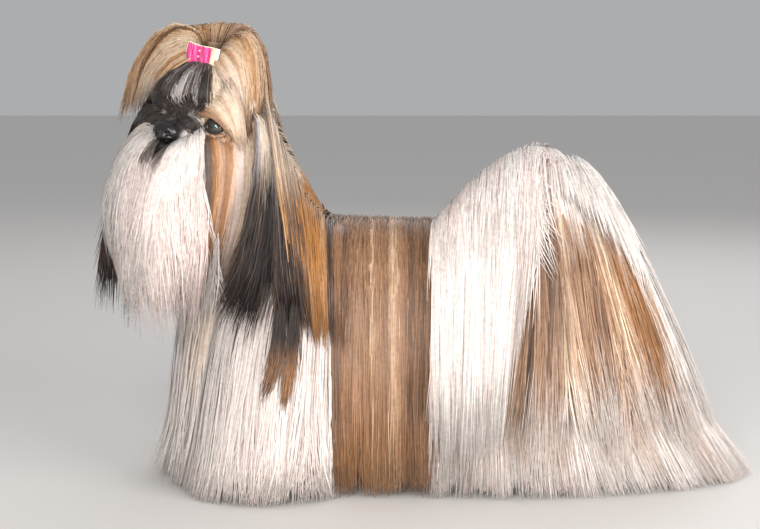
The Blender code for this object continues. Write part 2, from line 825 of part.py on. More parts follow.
def neck():
    body = tube("neck", NECK_LINE, NECK_SIDES)
    pieces = []
    for side in (-1, 1):
        fall = neck_fall(side)
        pieces.append(core(fall, (0.0, 1.02), (0.0, CORE_REACH), (4, 5), 0.012))
        pieces += tier(fall, (0.0, 1.04), 6, (0.0, 0.05), (0.90, 1.0), OUTER, 131 + side)
    combine(body, pieces)
    trim(body, [((SHOULDER_X - HALF_GAP, 0, 0), (-1, 0, 0))])
    cutters = [trunk(GAP), skull(GAP), bib_space(COAT_GAP)]
    for side in (-1, 1):
        cutters += [ear_space(side, COAT_GAP), cheek_space(side, COAT_GAP)]
    combine(body, cutters, "DIFFERENCE")
    return finish(body, "neck", "gold")


def head_mass(place, radii, grow, segments=12, rings=6):
    return ball("mass", place, [r + grow for r in radii], segments, rings, HEAD_FRAME)


def cranium(grow=0.0):
    return head_mass((0, 0, 0), SKULL_RADII, grow, 18, 10)


def skull(grow=0.0):
    masses = []
    for side in (-1, 1):
        masses.append(head_mass((side * 0.036, -0.016, 0.016), (0.020, 0.024, 0.026), grow))
        masses.append(head_mass((side * 0.024, 0.020, 0.032), (0.020, 0.014, 0.018), grow))
    return combine(cranium(grow), masses)


def muzzle_form(grow=0.0):
    masses = [
        head_mass((side * 0.013, -0.024, 0.052), (0.015, 0.014, 0.014), grow) for side in (-1, 1)
    ]
    masses.append(head_mass((0, -0.037, 0.046), (0.015, 0.010, 0.014), grow))
    return combine(head_mass((0, -0.012, 0.052), (0.018, 0.012, 0.016), grow), masses)


def eye_name(side):
    """On the head, side is 1 for the dog's left, as the head's left axis runs."""
    return "eye_left" if side > 0 else "eye_right"


def eye_ball(side, grow=0.0):
    place = (side * EYE_PLACE[0], EYE_PLACE[1], EYE_PLACE[2])
    return head_mass(place, [EYE_RADIUS] * 3, grow, 12, 7)


def eye(side):
    return finish(eye_ball(side), eye_name(side), "eye", 0.08)


def eyelids(side):
    """The upper and lower lid, one closed ring round the opening of the eye."""
    gaze = math.radians(side * 14)
    ring = []
    for i in range(LID_SIDES):
        turn = 2 * math.pi * i / LID_SIDES
        aside, up = LID_HALF_WIDTH * math.cos(turn), LID_HALF_HEIGHT * math.sin(turn)
        ahead = math.sqrt(EYE_RADIUS**2 - up * up - (aside * 0.8) ** 2)
        ring.append((
            side * EYE_PLACE[0] + aside * math.cos(gaze) + ahead * math.sin(gaze),
            EYE_PLACE[1] + up,
            EYE_PLACE[2] + ahead * math.cos(gaze) - aside * math.sin(gaze),
        ))
    return ring_tube("lids", [on_head(*place) for place in ring], LID_THICK / 2, 5)


def nose_ball(grow=0.0):
    return head_mass(NOSE_PLACE, NOSE_RADII, grow, 14, 7)


def cheek_space(side, grow):
    return sheet_solid("cheek", cheek_fall(side), (-0.1, 1.1), (0.0, 1), (3, 5), (0.014, 0.010), grow)


def brow_space(grow):
    return sheet_solid("brow", forehead_fall(), (-1, 1), (0.0, 0.97), (6, 4), (0.012, 0.012), grow)


def head():
    body = skull()
    pieces = [eyelids(side) for side in (-1, 1)]
    for side in (-1, 1):
        fall = cheek_fall(side)
        pieces += tier(fall, (-0.05, 1.05), 2, (0.03, 0.08), (0.86, 1.0), INNER, 141 + side)
        pieces += tier(fall, (-0.05, 1.05), 2, (0.0, 0.04), (0.50, 0.72), OUTER, 151 + side)
    pieces += tier(forehead_fall(), (-0.95, 0.95), 8, (0.0, 0.05), (0.92, 0.97), OUTER, 161)
    combine(body, pieces)
    combine(body, [eye_ball(1, GAP), eye_ball(-1, GAP)], "DIFFERENCE")
    return finish(body, "head", "white")


def mouth_line():
    """The cut between the upper lips and the chin."""
    stations = []
    for i in range(9):
        turn = math.radians(lerp(-62, 62, i / 8))
        sag = 0.004 * math.cos(turn * 2)
        place = on_head(0.026 * math.sin(turn), -0.0335 - sag, 0.042 + 0.026 * math.cos(turn))
        stations.append((*place, 0.0012))
    return tube("mouth", stations, 6, UP)


def muzzle():
    body = combine(muzzle_form(), [mouth_line()], "DIFFERENCE")
    fall = beard_fall()
    pieces = tier(fall, (0, 1), 4, (0.0, 0.04), (0.90, 1.0), OUTER, 200)
    for side in (-1, 1):
        fall = moustache_fall(side)
        pieces.append(core(fall, (0.08, 1), (0.12, CORE_REACH), (4, 3), 0.006))
        pieces += tier(fall, (0.0, 1.0), 4, (0.32, 0.40), (0.90, 1.0), INNER, 202 + side)
        pieces += tier(fall, (0.04, 1.0), 3, (0.0, 0.05), (0.52, 0.70), OUTER, 205 + side)
    combine(body, pieces)
    cutters = [skull(GAP), eye_ball(1, GAP), eye_ball(-1, GAP), nose_ball(GAP), brow_space(COAT_GAP)]
    cutters += [cheek_space(side, COAT_GAP) for side in (-1, 1)]
    combine(body, cutters, "DIFFERENCE")
    return finish(body, "muzzle", "white")


def nose():
    """The nose leather with its two nostrils."""
    body = nose_ball()
    x, y, z = NOSE_PLACE
    dents = []
    for side in (-1, 1):
        place = (x + side * 0.0062, y - 0.0010, z + 0.0070)
        dents.append(head_mass(place, (0.0026, 0.0034, 0.0040), 0, 8, 5))
    combine(body, dents, "DIFFERENCE")
    return finish(body, "nose", "leather", 0.35)


def ear_space(side, grow):
    return sheet_solid("ear", ear_fall(side), (-0.06, 1.06), (0, 1), (4, 7), (0.018, 0.010), grow)


def ear(side):
    fall = ear_fall(side)
    body = core(fall, (0.02, 0.98), (0, 0.48), (3, 4), 0.006)
    pieces = tier(fall, (0.0, 1.0), 4, (0.34, 0.42), (0.84, 1.0), INNER, 181 + side)
    pieces += tier(fall, (0.0, 1.0), 3, (0.0, 0.03), (0.55, 0.72), OUTER, 191 + side)
    combine(body, pieces)
    combine(body, [skull(GAP), cheek_space(side, COAT_GAP)], "DIFFERENCE")
    return finish(body, "ear_left" if side > 0 else "ear_right", "dark")


def stem(grow=0.0):
    """The gathered hair that the band holds."""
    stations = [
        (*on_head(BAND_PLACE[0], BAND_PLACE[1] + rise, BAND_PLACE[2]), radius + grow)
        for rise, radius in STEM_LINE
    ]
    return tube("stem", stations, 12, LEFT)


def band_space(grow=0.0):
    half = BAND_HEIGHT / 2 + grow
    stations = [
        (*on_head(BAND_PLACE[0], BAND_PLACE[1] + rise, BAND_PLACE[2]), BAND_RADIUS + grow)
        for rise in (-half, half)
    ]
    return tube("band", stations, 18, LEFT)


def topknot():
    fall = topknot_fall()
    pieces = [core(fall, (0, 1), (0.12, CORE_REACH), (6, 3), 0.006)]
    pieces += tier(fall, (0.0, 1.0), 8, (0.34, 0.42), (0.84, 1.0), INNER, 211)
    pieces += tier(fall, (0.02, 0.98), 7, (0.02, 0.06), (0.55, 0.72), OUTER, 212)
    body = combine(stem(), pieces)
    cutters = [cranium(GAP), brow_space(COAT_GAP), band_space(GAP), bow_space(GAP)]
    for side in (-1, 1):
        cutters += [space(side, COAT_GAP) for space in (ear_space, cape_space, cheek_space)]
    cutters.append(tube("neck", [(*row[:3], row[3] + GAP) for row in NECK_LINE], NECK_SIDES))
    combine(body, cutters, "DIFFERENCE")
    return finish(body, "topknot", "gold")


def band():
    """The elastic round the gathered hair."""
    body = combine(band_space(), [stem(GAP)], "DIFFERENCE")
    return finish(body, "topknot_band", "elastic", 0.8)


def bow_space(grow):
    return head_mass(BOW_PLACE, (BOW_HALF_WIDTH + 0.002, BOW_HALF_HEIGHT + 0.002, 0.009), grow)


def bow():
    """Two flat loops of ribbon, gathered in the middle under a narrow wrap."""
    profile = []
    for i in range(BOW_SIDES + 1):
        x = lerp(-BOW_HALF_WIDTH, BOW_HALF_WIDTH, i / BOW_SIDES)
        share = abs(x) / BOW_HALF_WIDTH
        puff = 0.0016 + 0.0030 * math.sin(math.pi * min(share * 1.15, 1)) ** 2
        profile.append((x, puff, lerp(0.86, 1.0, share) * BOW_HALF_HEIGHT))
    rings = []
    for x, puff, half in profile:
        ring = [(-half, -puff), (half, -puff), (half, puff), (-half, puff)]
        rings.append([on_head(BOW_PLACE[0] + x, BOW_PLACE[1] + up, BOW_PLACE[2] + out) for up, out in ring])
    body = loft("bow", rings)
    wrap = head_mass(BOW_PLACE, (0.0035, BOW_HALF_HEIGHT * 0.9, 0.0035), 0, 12, 8)
    combine(body, [wrap])
    combine(body, [band_space(GAP), brow_space(COAT_GAP)], "DIFFERENCE")
    return finish(body, "bow", "pink", 0.3)


def tail(name, fall, across, counts, down, split, keep, seed):
    """A length of the tail, with the hair of its plume. counts are the locks of its two tiers."""
    pieces = [core(fall, across, (0, CORE_REACH), (6, 4), 0.008)]
    pieces += tier(fall, across, counts[0], (0.36, 0.43), down, INNER, seed)
    pieces += tier(fall, across, counts[1], (0.0, 0.03), (0.5, 0.70), OUTER, seed + 1)
    body = combine(tube("tail", TAIL_LINE, TAIL_SIDES), pieces)
    trim(body, [((split, 0, 0), (keep, 0, 0))])
    return finish(body, name, "white")


def stand_on_origin():
    """Moves every node alike, so that the origin is the middle of the floor under the dog's box."""
    nodes = list(bpy.context.scene.objects)
    corners = np.array([corner.co for node in nodes for corner in node.data.vertices])
    low, high = corners.min(axis=0), corners.max(axis=0)
    shift = Matrix.Translation((-(low[0] + high[0]) / 2, -(low[1] + high[1]) / 2, -low[2]))
    for node in nodes:
        node.data.transform(shift)


def main():
    clear_scene()
    for side in (-1, 1):
        torso(side)
        foreleg(side)
        hindleg(side)
        eye(side)
        ear(side)
    chest()
    rump()
    neck()
    head()
    muzzle()
    nose()
    topknot()
    band()
    bow()
    tail("tail_base", tail_base_fall(), (0, 1), (9, 5), (0.9, 1.0), TAIL_SPLIT_X + HALF_GAP, 1, 217)
    tail("tail_tip", tail_tip_fall(), (0, 1.1), (7, 5), (0.88, 1.0), TAIL_SPLIT_X - HALF_GAP, -1, 221)
    stand_on_origin()


main()
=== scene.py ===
"""The looks of the shih tzu in full show coat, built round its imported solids.

The coat is fine tapered strands of solid mesh. They hang in falls: a fall is a sheet of hair
whose face is a row of Bezier ribs, from the line where the hair grows (t = 0) to its tips
(t = 1), and s runs across the rows of hair.
"""

import json
import math

import bmesh
import bpy
import numpy as np
from mathutils import Matrix, Vector
from mathutils.bvhtree import BVHTree
from mathutils.kdtree import KDTree

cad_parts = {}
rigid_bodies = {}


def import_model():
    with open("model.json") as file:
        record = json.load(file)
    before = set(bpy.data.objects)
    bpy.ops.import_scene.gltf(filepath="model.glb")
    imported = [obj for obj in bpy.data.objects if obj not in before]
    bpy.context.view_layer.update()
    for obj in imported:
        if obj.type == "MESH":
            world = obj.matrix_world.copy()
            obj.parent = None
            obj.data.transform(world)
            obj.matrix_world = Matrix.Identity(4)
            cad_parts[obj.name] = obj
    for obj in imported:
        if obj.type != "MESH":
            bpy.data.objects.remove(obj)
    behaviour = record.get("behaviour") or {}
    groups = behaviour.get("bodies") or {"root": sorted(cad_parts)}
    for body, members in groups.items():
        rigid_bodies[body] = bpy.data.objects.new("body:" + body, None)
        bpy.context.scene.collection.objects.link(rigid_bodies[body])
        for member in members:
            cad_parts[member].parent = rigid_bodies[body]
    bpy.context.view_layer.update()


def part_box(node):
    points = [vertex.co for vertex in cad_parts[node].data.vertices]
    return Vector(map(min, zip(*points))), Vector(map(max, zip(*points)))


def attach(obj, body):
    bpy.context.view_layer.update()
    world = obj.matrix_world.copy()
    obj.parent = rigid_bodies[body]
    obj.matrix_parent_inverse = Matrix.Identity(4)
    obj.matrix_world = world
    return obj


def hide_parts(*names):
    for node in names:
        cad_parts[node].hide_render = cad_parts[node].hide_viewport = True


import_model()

# Coat depths under the face of a fall, as in the solids
CORE_DEPTH = 0.0125
FLOOR_CLEAR = 0.0008
SKIRT_CLEAR = 0.003
HEAD_BULK = 0.55
PATCH = 0.003

# Strands: how much they waver, how much painted shade darkens the deepest (their hair is also a little darker in
# itself), and how much they vary in tone
WANDER = 0.25
DEEP_PAINTED_SHADE = 0.45
STRAND_VARIETY = 0.03
# How much darker the skin and undercoat sheets are than the nearest hair: painted shade under the coat.
SKIN_PAINTED_SHADE = 0.88
FAR_SIDE_SHARE = 0.86
CLAW_COLOUR = (0.05, 0.04, 0.035)
TRUNK_SIDES = (-1, 1)
HEAD_SIDES = (1, -1)
HAIR_ROUGHNESS = {"white_hair": 0.50, "cream_hair": 0.50, "gold_hair": 0.46, "dark_hair": 0.42}

# The rings of each strand, from its root, whose colours the skin takes on
SKIN_COLOUR_RINGS = (0, 2, 3, -2)

# Trunk and its coat
WITHERS = 0.262
LOIN = 0.257
SHOULDER_X = -0.080
LOIN_X = 0.060
SKIRT_HALF = 0.119
BACK_REACH = 0.90
FALL_REACH = 0.80
REAR_REACH = 0.334
RUMP_TURN = math.radians(66)

# Stations of the bare trunk: x, middle height, half height, half width
TRUNK = (
    (-0.196, 0.190, 0.014, 0.016), (-0.186, 0.190, 0.040, 0.036), (-0.160, 0.184, 0.060, 0.056),
    (-0.110, 0.178, 0.068, 0.068), (-0.050, 0.178, 0.066, 0.072), (0.010, 0.182, 0.060, 0.070),
    (0.060, 0.186, 0.056, 0.066), (0.110, 0.186, 0.055, 0.062), (0.148, 0.190, 0.044, 0.048),
    (0.164, 0.196, 0.020, 0.022),
)

# Legs, left ones: rows from the top down of x, y, z, half length, half width
FORELEG = (
    (-0.128, 0.064, 0.205, 0.036, 0.024), (-0.124, 0.062, 0.150, 0.028, 0.022),
    (-0.126, 0.064, 0.095, 0.017, 0.015), (-0.130, 0.065, 0.045, 0.014, 0.013),
    (-0.136, 0.066, 0.022, 0.020, 0.017), (-0.139, 0.066, 0.008, 0.024, 0.019),
    (-0.139, 0.066, 0.0004, 0.021, 0.016),
)
HINDLEG = (
    (0.112, 0.056, 0.190, 0.036, 0.020), (0.116, 0.058, 0.140, 0.034, 0.022),
    (0.140, 0.062, 0.095, 0.022, 0.016), (0.168, 0.064, 0.060, 0.014, 0.012),
    (0.168, 0.065, 0.024, 0.018, 0.015), (0.163, 0.066, 0.008, 0.024, 0.019),
    (0.162, 0.066, 0.0004, 0.021, 0.016),
)
PAWS = ((-0.139, 0.066), (0.162, 0.066))
TOES = tuple((toe * 0.0095, -0.0035 * abs(toe)) for toe in (-1.5, -0.5, 0.5, 1.5))

# Head: its centre, how far it turns from facing -Y towards -X, how far the nose lifts, and its tilt
HEAD = Vector((-0.2095, -0.035, 0.350))
HEAD_TURN = math.radians(27)
HEAD_LIFT = math.radians(5)
HEAD_TILT = math.radians(7)
SKULL_RADII = (0.055, 0.052, 0.054)
EYE_RADIUS = 0.0105
EYE_PLACE = (0.036, 0.002, 0.038)
NOSE_PLACE = (0.0, -0.009, 0.070)
NOSE_RADII = (0.0135, 0.0100, 0.0085)
BAND_PLACE = (-0.001, 0.067, 0.006)
BAND_RADIUS = 0.0085
BOW_PLACE = (-0.002, 0.0645, 0.0205)
BOW_TURN = 0.12
BOW_SCALE = (1.20, 1.15, 1.10)
BROW_UP = 0.0095
LID_LENGTHENING = 1.45
LID_HALF_WIDTH = 0.0108
LID_HALF_HEIGHT = 0.0050
BELL_SWAY = -0.20

TAIL_LINE = (
    (0.140, 0.000, 0.236, 0.016), (0.152, 0.000, 0.272, 0.015), (0.134, -0.002, 0.296, 0.014),
    (0.108, -0.006, 0.302, 0.013), (0.080, -0.014, 0.294, 0.011), (0.056, -0.030, 0.276, 0.009),
    (0.040, -0.052, 0.262, 0.006),
)
NECK_LINE = (
    (-0.130, 0.000, 0.200, 0.054), (-0.142, -0.002, 0.240, 0.052), (-0.160, -0.008, 0.285, 0.046),
    (-0.182, -0.018, 0.320, 0.042), (-0.198, -0.028, 0.345, 0.036),
)

# The photo's camera: its place in the dog's frame, how far it looks down, and its focal length in pixels
CAMERA_PLACE = (-0.042, -1.71, 0.42)
CAMERA_DIP_DEGREES = 7
FOCAL_PIXELS = 1720
PHOTO_WIDTH_PIXELS = 760

# Lights: name, place, target, width and height, power in watts and colour
LIGHTS = (
    ("key", (-0.5, -2.2, 1.2), (-0.02, 0, 0.2), (0.8, 0.6), 28, (1, 0.96, 0.92)),
    ("flash", (0.1, -2.1, 0.45), (0.0, 0, 0.16), (0.5, 0.3), 13, (1, 0.97, 0.93)),
    ("fill", (1.6, -1.6, 0.6), (0.05, 0, 0.15), (1.4, 1.0), 42, (1, 0.98, 0.95)),
    ("rim", (0.6, 1.8, 1.6), (0, 0, 0.25), (1.5, 1.0), 12, (1, 1, 1)),
)

# Hair colours, as light reflected in red, green and blue
WHITE = (0.74, 0.685, 0.65)
COOL_WHITE = (0.68, 0.66, 0.67)
PINK_WHITE = (0.70, 0.59, 0.555)
PINK = (0.68, 0.49, 0.455)
ASH_WHITE = (0.46, 0.405, 0.39)
CREAM = (0.72, 0.58, 0.43)
BEIGE = (0.56, 0.38, 0.25)
GOLD = (0.44, 0.235, 0.095)
ORANGE = (0.40, 0.17, 0.045)
TAN = (0.33, 0.178, 0.098)
BROWN = (0.165, 0.088, 0.052)
UMBER = (0.070, 0.042, 0.030)
BLACK = (0.017, 0.014, 0.014)
SLATE = (0.085, 0.080, 0.088)
SILVER = (0.42, 0.39, 0.40)
LILAC = (0.60, 0.55, 0.55)
PEACH = (0.66, 0.42, 0.30)


def lerp(a, b, u):
    return a + (b - a) * u


def vec(*values):
    return np.array(values, float)


def head_axes():
    """The head's left, up and forward directions in the dog's frame."""
    forward = Vector((
        -math.sin(HEAD_TURN) * math.cos(HEAD_LIFT),
        -math.cos(HEAD_TURN) * math.cos(HEAD_LIFT),
        math.sin(HEAD_LIFT),
    ))
    level_left = Vector((math.cos(HEAD_TURN), -math.sin(HEAD_TURN), 0))
    level_up = forward.cross(level_left)
    tilt = Matrix.Rotation(-HEAD_TILT, 3, forward)
    return tilt @ level_left, tilt @ level_up, forward


LEFT, UP, FORWARD = head_axes()
AXES = np.array([LEFT, UP, FORWARD])


def on_head(left, up, forward):
    """A point given along the head's own axes, in the dog's frame."""
    return np.array(HEAD + LEFT * left + UP * up + FORWARD * forward)


def from_head(points):
    """Points of the dog's frame, given along the head's own axes."""
    return (points - np.array(HEAD)) @ AXES.T


def eye_centre(side):
    return on_head(side * EYE_PLACE[0], EYE_PLACE[1], EYE_PLACE[2])


# The solids stand with the middle of their box over the origin. The eye says how far that moved them.
_low, _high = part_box("eye_left")
SHIFT = np.array((_low + _high) / 2) - eye_centre(1)


def smooth(low, high, value):
    """0 below low, 1 above high, and a soft step between."""
    share = np.clip((value - low) / (high - low), 0, 1)
    return share * share * (3 - 2 * share)


def ripple(value, pitch, seed):
    """Soft random values from 0 to 1 along a line, a new one every pitch."""
    knots = np.random.default_rng(seed).random(997)
    place = value / pitch + 400
    low = np.floor(place).astype(int)
    share = place - low
    share = share * share * (3 - 2 * share)
    return knots[low % 997] * (1 - share) + knots[(low + 1) % 997] * share


def ramp(value, *colours):
    """The colours in turn as value goes from 0 to 1."""
    stops = np.linspace(0, 1, len(colours))
    table = np.array(colours)
    return np.stack([np.interp(value, stops, table[:, i]) for i in range(3)], -1)


def mix(first, second, share):
    share = np.asarray(share)[..., None]
    return np.asarray(first) * (1 - share) + np.asarray(second) * share


def contrast(value, gain):
    """The value drawn away from the middle by the gain."""
    return np.clip((value - 0.5) * gain + 0.5, 0, 1)


class Fall:
    """A sheet of hanging hair. rib(s) gives the four Bezier points of its face at s.

    inside is a point on its inner side, and bulk is 1 for the body's deep coat and less on the head.
    """

    def __init__(self, rib, inside, bulk=1.0, span=(-0.4, 1.4)):
        self.first, self.pitch = span[0], (span[1] - span[0]) / 120
        self.ribs = np.array([rib(span[0] + self.pitch * i) for i in range(121)])
        self.inside = np.array(inside, float)
        self.bulk = bulk

    def at(self, s, t):
        place = (np.asarray(s, float) - self.first) / self.pitch
        low = np.clip(np.floor(place).astype(int), 0, 119)
        share = (place - low)[..., None, None]
        rib = self.ribs[low] * (1 - share) + self.ribs[low + 1] * share
        t = np.asarray(t, float)[..., None]
        u = 1 - t
        return (
            rib[..., 0, :] * u**3 + rib[..., 1, :] * 3 * u * u * t
            + rib[..., 2, :] * 3 * u * t * t + rib[..., 3, :] * t**3
        )

    def frame(self, s, t):
        """The face's points at s, t, and the way out of the coat there."""
        step = 0.02
        point = self.at(s, t)
        across = self.at(s + step, t) - self.at(s - step, t)
        along = self.at(s, t + step) - self.at(s, t - step)
        out = unit(np.cross(across, along))
        inner = np.sum(out * (point - self.inside), -1, keepdims=True) < 0
        return point, np.where(inner, -out, out)


def unit(vectors):
    return vectors / np.maximum(np.linalg.norm(vectors, axis=-1, keepdims=True), 1e-9)


def drape(top, tip, back_reach, fall_reach, lean=0.5):
    """A rib that runs out level from the top, then falls to the tip."""
    over = vec(lerp(top[0], tip[0], 0.15 * lean), lerp(top[1], tip[1], back_reach), top[2])
    down = vec(
        lerp(top[0], tip[0], 0.55 + 0.2 * lean),
        lerp(top[1], tip[1], fall_reach),
        lerp(top[2], tip[2], 0.50),
    )
    return top, over, down, tip


def between(first, last, s):
    """The points of a rib that lies a share s of the way from the first rib to the last."""
    return [lerp(vec(*a), vec(*b), s) for a, b in zip(first, last)]


def head_fall(inside, first, last):
    """A fall on the head, from the ribs at its two edges on the head's own axes."""
    return Fall(lambda s: [on_head(*point) for point in between(first, last, s)], inside, HEAD_BULK)


def torso_fall(side):
    def rib(s):
        top = vec(lerp(SHOULDER_X, LOIN_X, s), 0, lerp(WITHERS, LOIN, s))
        tip = vec(lerp(SHOULDER_X, LOIN_X, s), side * SKIRT_HALF, SKIRT_CLEAR)
        return drape(top, tip, BACK_REACH, FALL_REACH)

    return Fall(rib, (0, 0, 0.13))


def rear_rib(side, turn):
    """A rib of the hind coat; turn goes from the flank (0) round to the back (a right angle)."""
    ahead, aside = math.sin(turn), side * math.cos(turn)
    top = vec(LOIN_X + 0.088 * ahead, 0, lerp(LOIN, 0.249, ahead))
    over = vec(LOIN_X + 0.132 * ahead, 0.107 * aside, lerp(LOIN, 0.226, ahead**2))
    down = vec(LOIN_X + 0.194 * ahead, 0.098 * aside, lerp(0.128, 0.100, ahead))
    tip = vec(LOIN_X + (REAR_REACH - LOIN_X) * ahead, 0.125 * aside, FLOOR_CLEAR)
    return top, over, down, tip


def hip_fall(side):
    """From the loin round to the rump, swept back to the trailing hem of the coat."""
    return Fall(lambda s: rear_rib(side, RUMP_TURN * s), (0.11, 0, 0.13))


def rump_fall():
    """Across the back of the coat. s is -1 at the left thigh and 1 at the right one."""
    def rib(s):
        turn = math.pi / 2 - (math.pi / 2 - RUMP_TURN) * abs(s)
        return rear_rib(math.copysign(1, s), turn)

    return Fall(rib, (0.10, 0, 0.10), span=(-1.4, 1.4))


def foreleg_fall(side):
    """The hair round a foreleg. s is the turn from the front, by the outer side, to the back."""

    def ring(turn, centre, radii, z):
        ahead, aside = radii[0] * math.cos(turn), radii[1] * math.sin(turn)
        return vec(centre[0] - ahead, side * (centre[1] + aside), z)

    def rib(s):
        turn = 2 * math.pi * s
        top = ring(turn, (-0.130, 0.050), (0.052, 0.040), 0.214)
        tip = ring(turn, (-0.152, 0.070), (0.084, 0.084), FLOOR_CLEAR)
        upper = lerp(top, tip, 0.62)
        lower = lerp(top, tip, 0.66)
        upper[2], lower[2] = 0.170, 0.064
        return top, upper, lower, tip

    return Fall(rib, (-0.130, side * 0.052, 0.10))


def chest_fall():
    """The chest's hair, from the throat to the floor round the front of the forelegs."""

    def rib(s):
        ahead, aside = math.cos(1.2 * s), math.sin(1.2 * s)
        top = vec(-0.158 - 0.022 * ahead, 0.048 * aside, 0.236 - 0.012 * (1 - ahead))
        over = vec(-0.190 - 0.090 * ahead, 0.074 * aside, 0.224)
        down = vec(-0.190 - 0.044 * ahead, 0.080 * aside, 0.090)
        tip = vec(-0.190 - 0.074 * ahead, 0.098 * aside, FLOOR_CLEAR)
        return top, over, down, tip

    return Fall(rib, (-0.13, 0, 0.13), span=(-1.4, 1.4))


def neck_fall(side):
    """The crest's hair, which falls over the shoulder outside the trunk's coat."""

    def rib(s):
        crest = lerp(0.388, WITHERS, s) - 0.118 * s * (1 - s)
        top = vec(lerp(-0.158, SHOULDER_X, s), 0, crest)
        close = 1 if side < 0 else 0.62 + 0.38 * min(max(s, 0) / 0.8, 1)
        over = vec(lerp(-0.140, -0.080, s), side * 0.068 * close, top[2] - 0.002)
        down = vec(lerp(-0.126, -0.080, s), side * 0.114 * (0.5 + 0.5 * close), lerp(0.262, 0.216, s))
        tip = vec(lerp(-0.118, -0.080, s), side * 0.117, lerp(0.150, 0.130, s))
        return top, over, down, tip

    return Fall(rib, (-0.12, 0, 0.22))


def mane_fall():
    """The hair on the dog's right side of the neck. s runs from behind the ear to under the chin."""

    def rib(s):
        turn = math.radians(lerp(-35, 105, s))
        ahead, aside = math.sin(turn), math.cos(turn)
        top = vec(-0.180 - 0.040 * ahead, -0.012 + 0.040 * aside, 0.322)
        over = vec(-0.176 - 0.062 * ahead, -0.006 + 0.080 * aside, 0.306)
        down = vec(-0.160 - 0.084 * ahead, 0.002 + 0.118 * aside, 0.218)
        tip = vec(-0.160 - 0.094 * ahead, 0.006 + 0.118 * aside, 0.140)
        return top, over, down, tip

    return Fall(rib, (-0.16, 0, 0.22))


def plume_inner_fall():
    """The front of the plume on the dog's right side, seen from behind it."""

    def rib(s):
        rise = math.sin(math.pi / 2 * min(max(s, 0), 1))
        top = vec(lerp(0.020, 0.118, s), lerp(-0.036, -0.002, s), lerp(0.262, 0.332, rise))
        over = top + vec(0.004, 0.030, 0.010)
        down = top + vec(0.008, 0.060, lerp(-0.004, -0.034, rise))
        tip = top + vec(0.012, lerp(0.050, 0.078, rise), lerp(-0.010, -0.088, rise))
        return top, over, down, tip

    return Fall(rib, (0.07, 0, 0.22))


def tail_tip_fall():
    """The front of the plume, laid over the left flank. Past s = 1 it goes on along the crest."""

    def rib(s):
        rise = math.sin(math.pi / 2 * min(max(s, -0.2), 1))
        past = max(s - 1, 0) / 0.5
        up_to = min(s, 1)
        top = vec(lerp(0.016, 0.110, up_to) + 0.036 * past, lerp(-0.034, -0.004, up_to),
                  lerp(0.262, 0.331, rise) - 0.007 * past)
        over = vec(lerp(0.006, 0.108, up_to) + 0.066 * past, -0.085, lerp(0.284, 0.332, rise) - 0.010 * past)
        down = vec(lerp(0.008, 0.098, up_to) + 0.125 * past, -0.128, lerp(0.190, 0.200, s))
        tip = vec(lerp(0.010, 0.082, up_to) + 0.190 * past, -0.134, 0.014 + 0.03 * past)
        return top, over, down, tip

    return Fall(rib, (0.08, 0.02, 0.18), span=(-0.3, 1.7))


def tail_base_fall():
    """The rest of the plume, which falls over the hips and behind. s runs from left to right."""

    def rib(s):
        turn = math.radians(lerp(-100, 100, s))
        ahead, aside = math.cos(turn), math.sin(turn)
        reach = math.hypot(0.182 * ahead, 0.138 * aside)
        top = vec(0.112 + 0.012 * ahead, 0.006 * aside, 0.330)
        over = vec(0.120 + 0.060 * ahead, 0.068 * aside, 0.327)
        down = vec(0.124 + 0.70 * reach * ahead, 0.124 * aside, 0.186)
        tip = vec(0.124 + reach * ahead, 0.137 * aside, lerp(0.030, 0.024, s))
        return top, over, down, tip

    return Fall(rib, (0.12, 0.0, 0.15))


def ear_fall(side):
    """side is +1 for the dog's left ear. s runs from the front edge of the ear to its back."""

    def rib(s):
        front = lerp(0.012, -0.016, s)
        top = on_head(side * 0.054, 0.026, front)
        over = on_head(0.078 if side > 0 else -0.085, 0.016, front)
        if side > 0:
            down = vec(lerp(-0.158, -0.130, s), lerp(-0.126, -0.123, s), 0.240)
            tip = vec(lerp(-0.212, -0.110, s), -0.130, lerp(0.166, 0.104, s))
        else:
            down = vec(lerp(-0.320, -0.290, s), lerp(-0.040, 0.034, s), 0.252)
            tip = vec(lerp(-0.324, -0.236, s), lerp(-0.030, 0.022, s), lerp(0.142, 0.098, s))
        return top, over, down, tip

    return Fall(rib, np.array(HEAD) - vec(0, 0, 0.08), HEAD_BULK)


def wisp_fall(top_x, tip_x, low):
    """A thin golden lock that hangs out below the left ear."""

    def rib(s):
        spread = s - 0.5
        top = vec(top_x + 0.007 * spread, -0.119, 0.205)
        over = vec(top_x + 0.010 * spread, -0.130, 0.165)
        down = vec(lerp(top_x, tip_x, 0.25) + 0.013 * spread, -0.1325, lerp(0.150, low, 0.45))
        tip = vec(tip_x + 0.004 * spread, -0.1345, low)
        return top, over, down, tip

    return Fall(rib, (-0.13, 0, 0.13))


def bell(turn, radius, down):
    """A point round the bell of hair under the nose; turn is 0 straight ahead and grows to the left."""
    out = np.array(LEFT * math.sin(turn) + FORWARD * math.cos(turn))
    out[2] = 0
    return on_head(0, -0.020, 0.049) + out * radius + vec(BELL_SWAY * down, 0, -down)


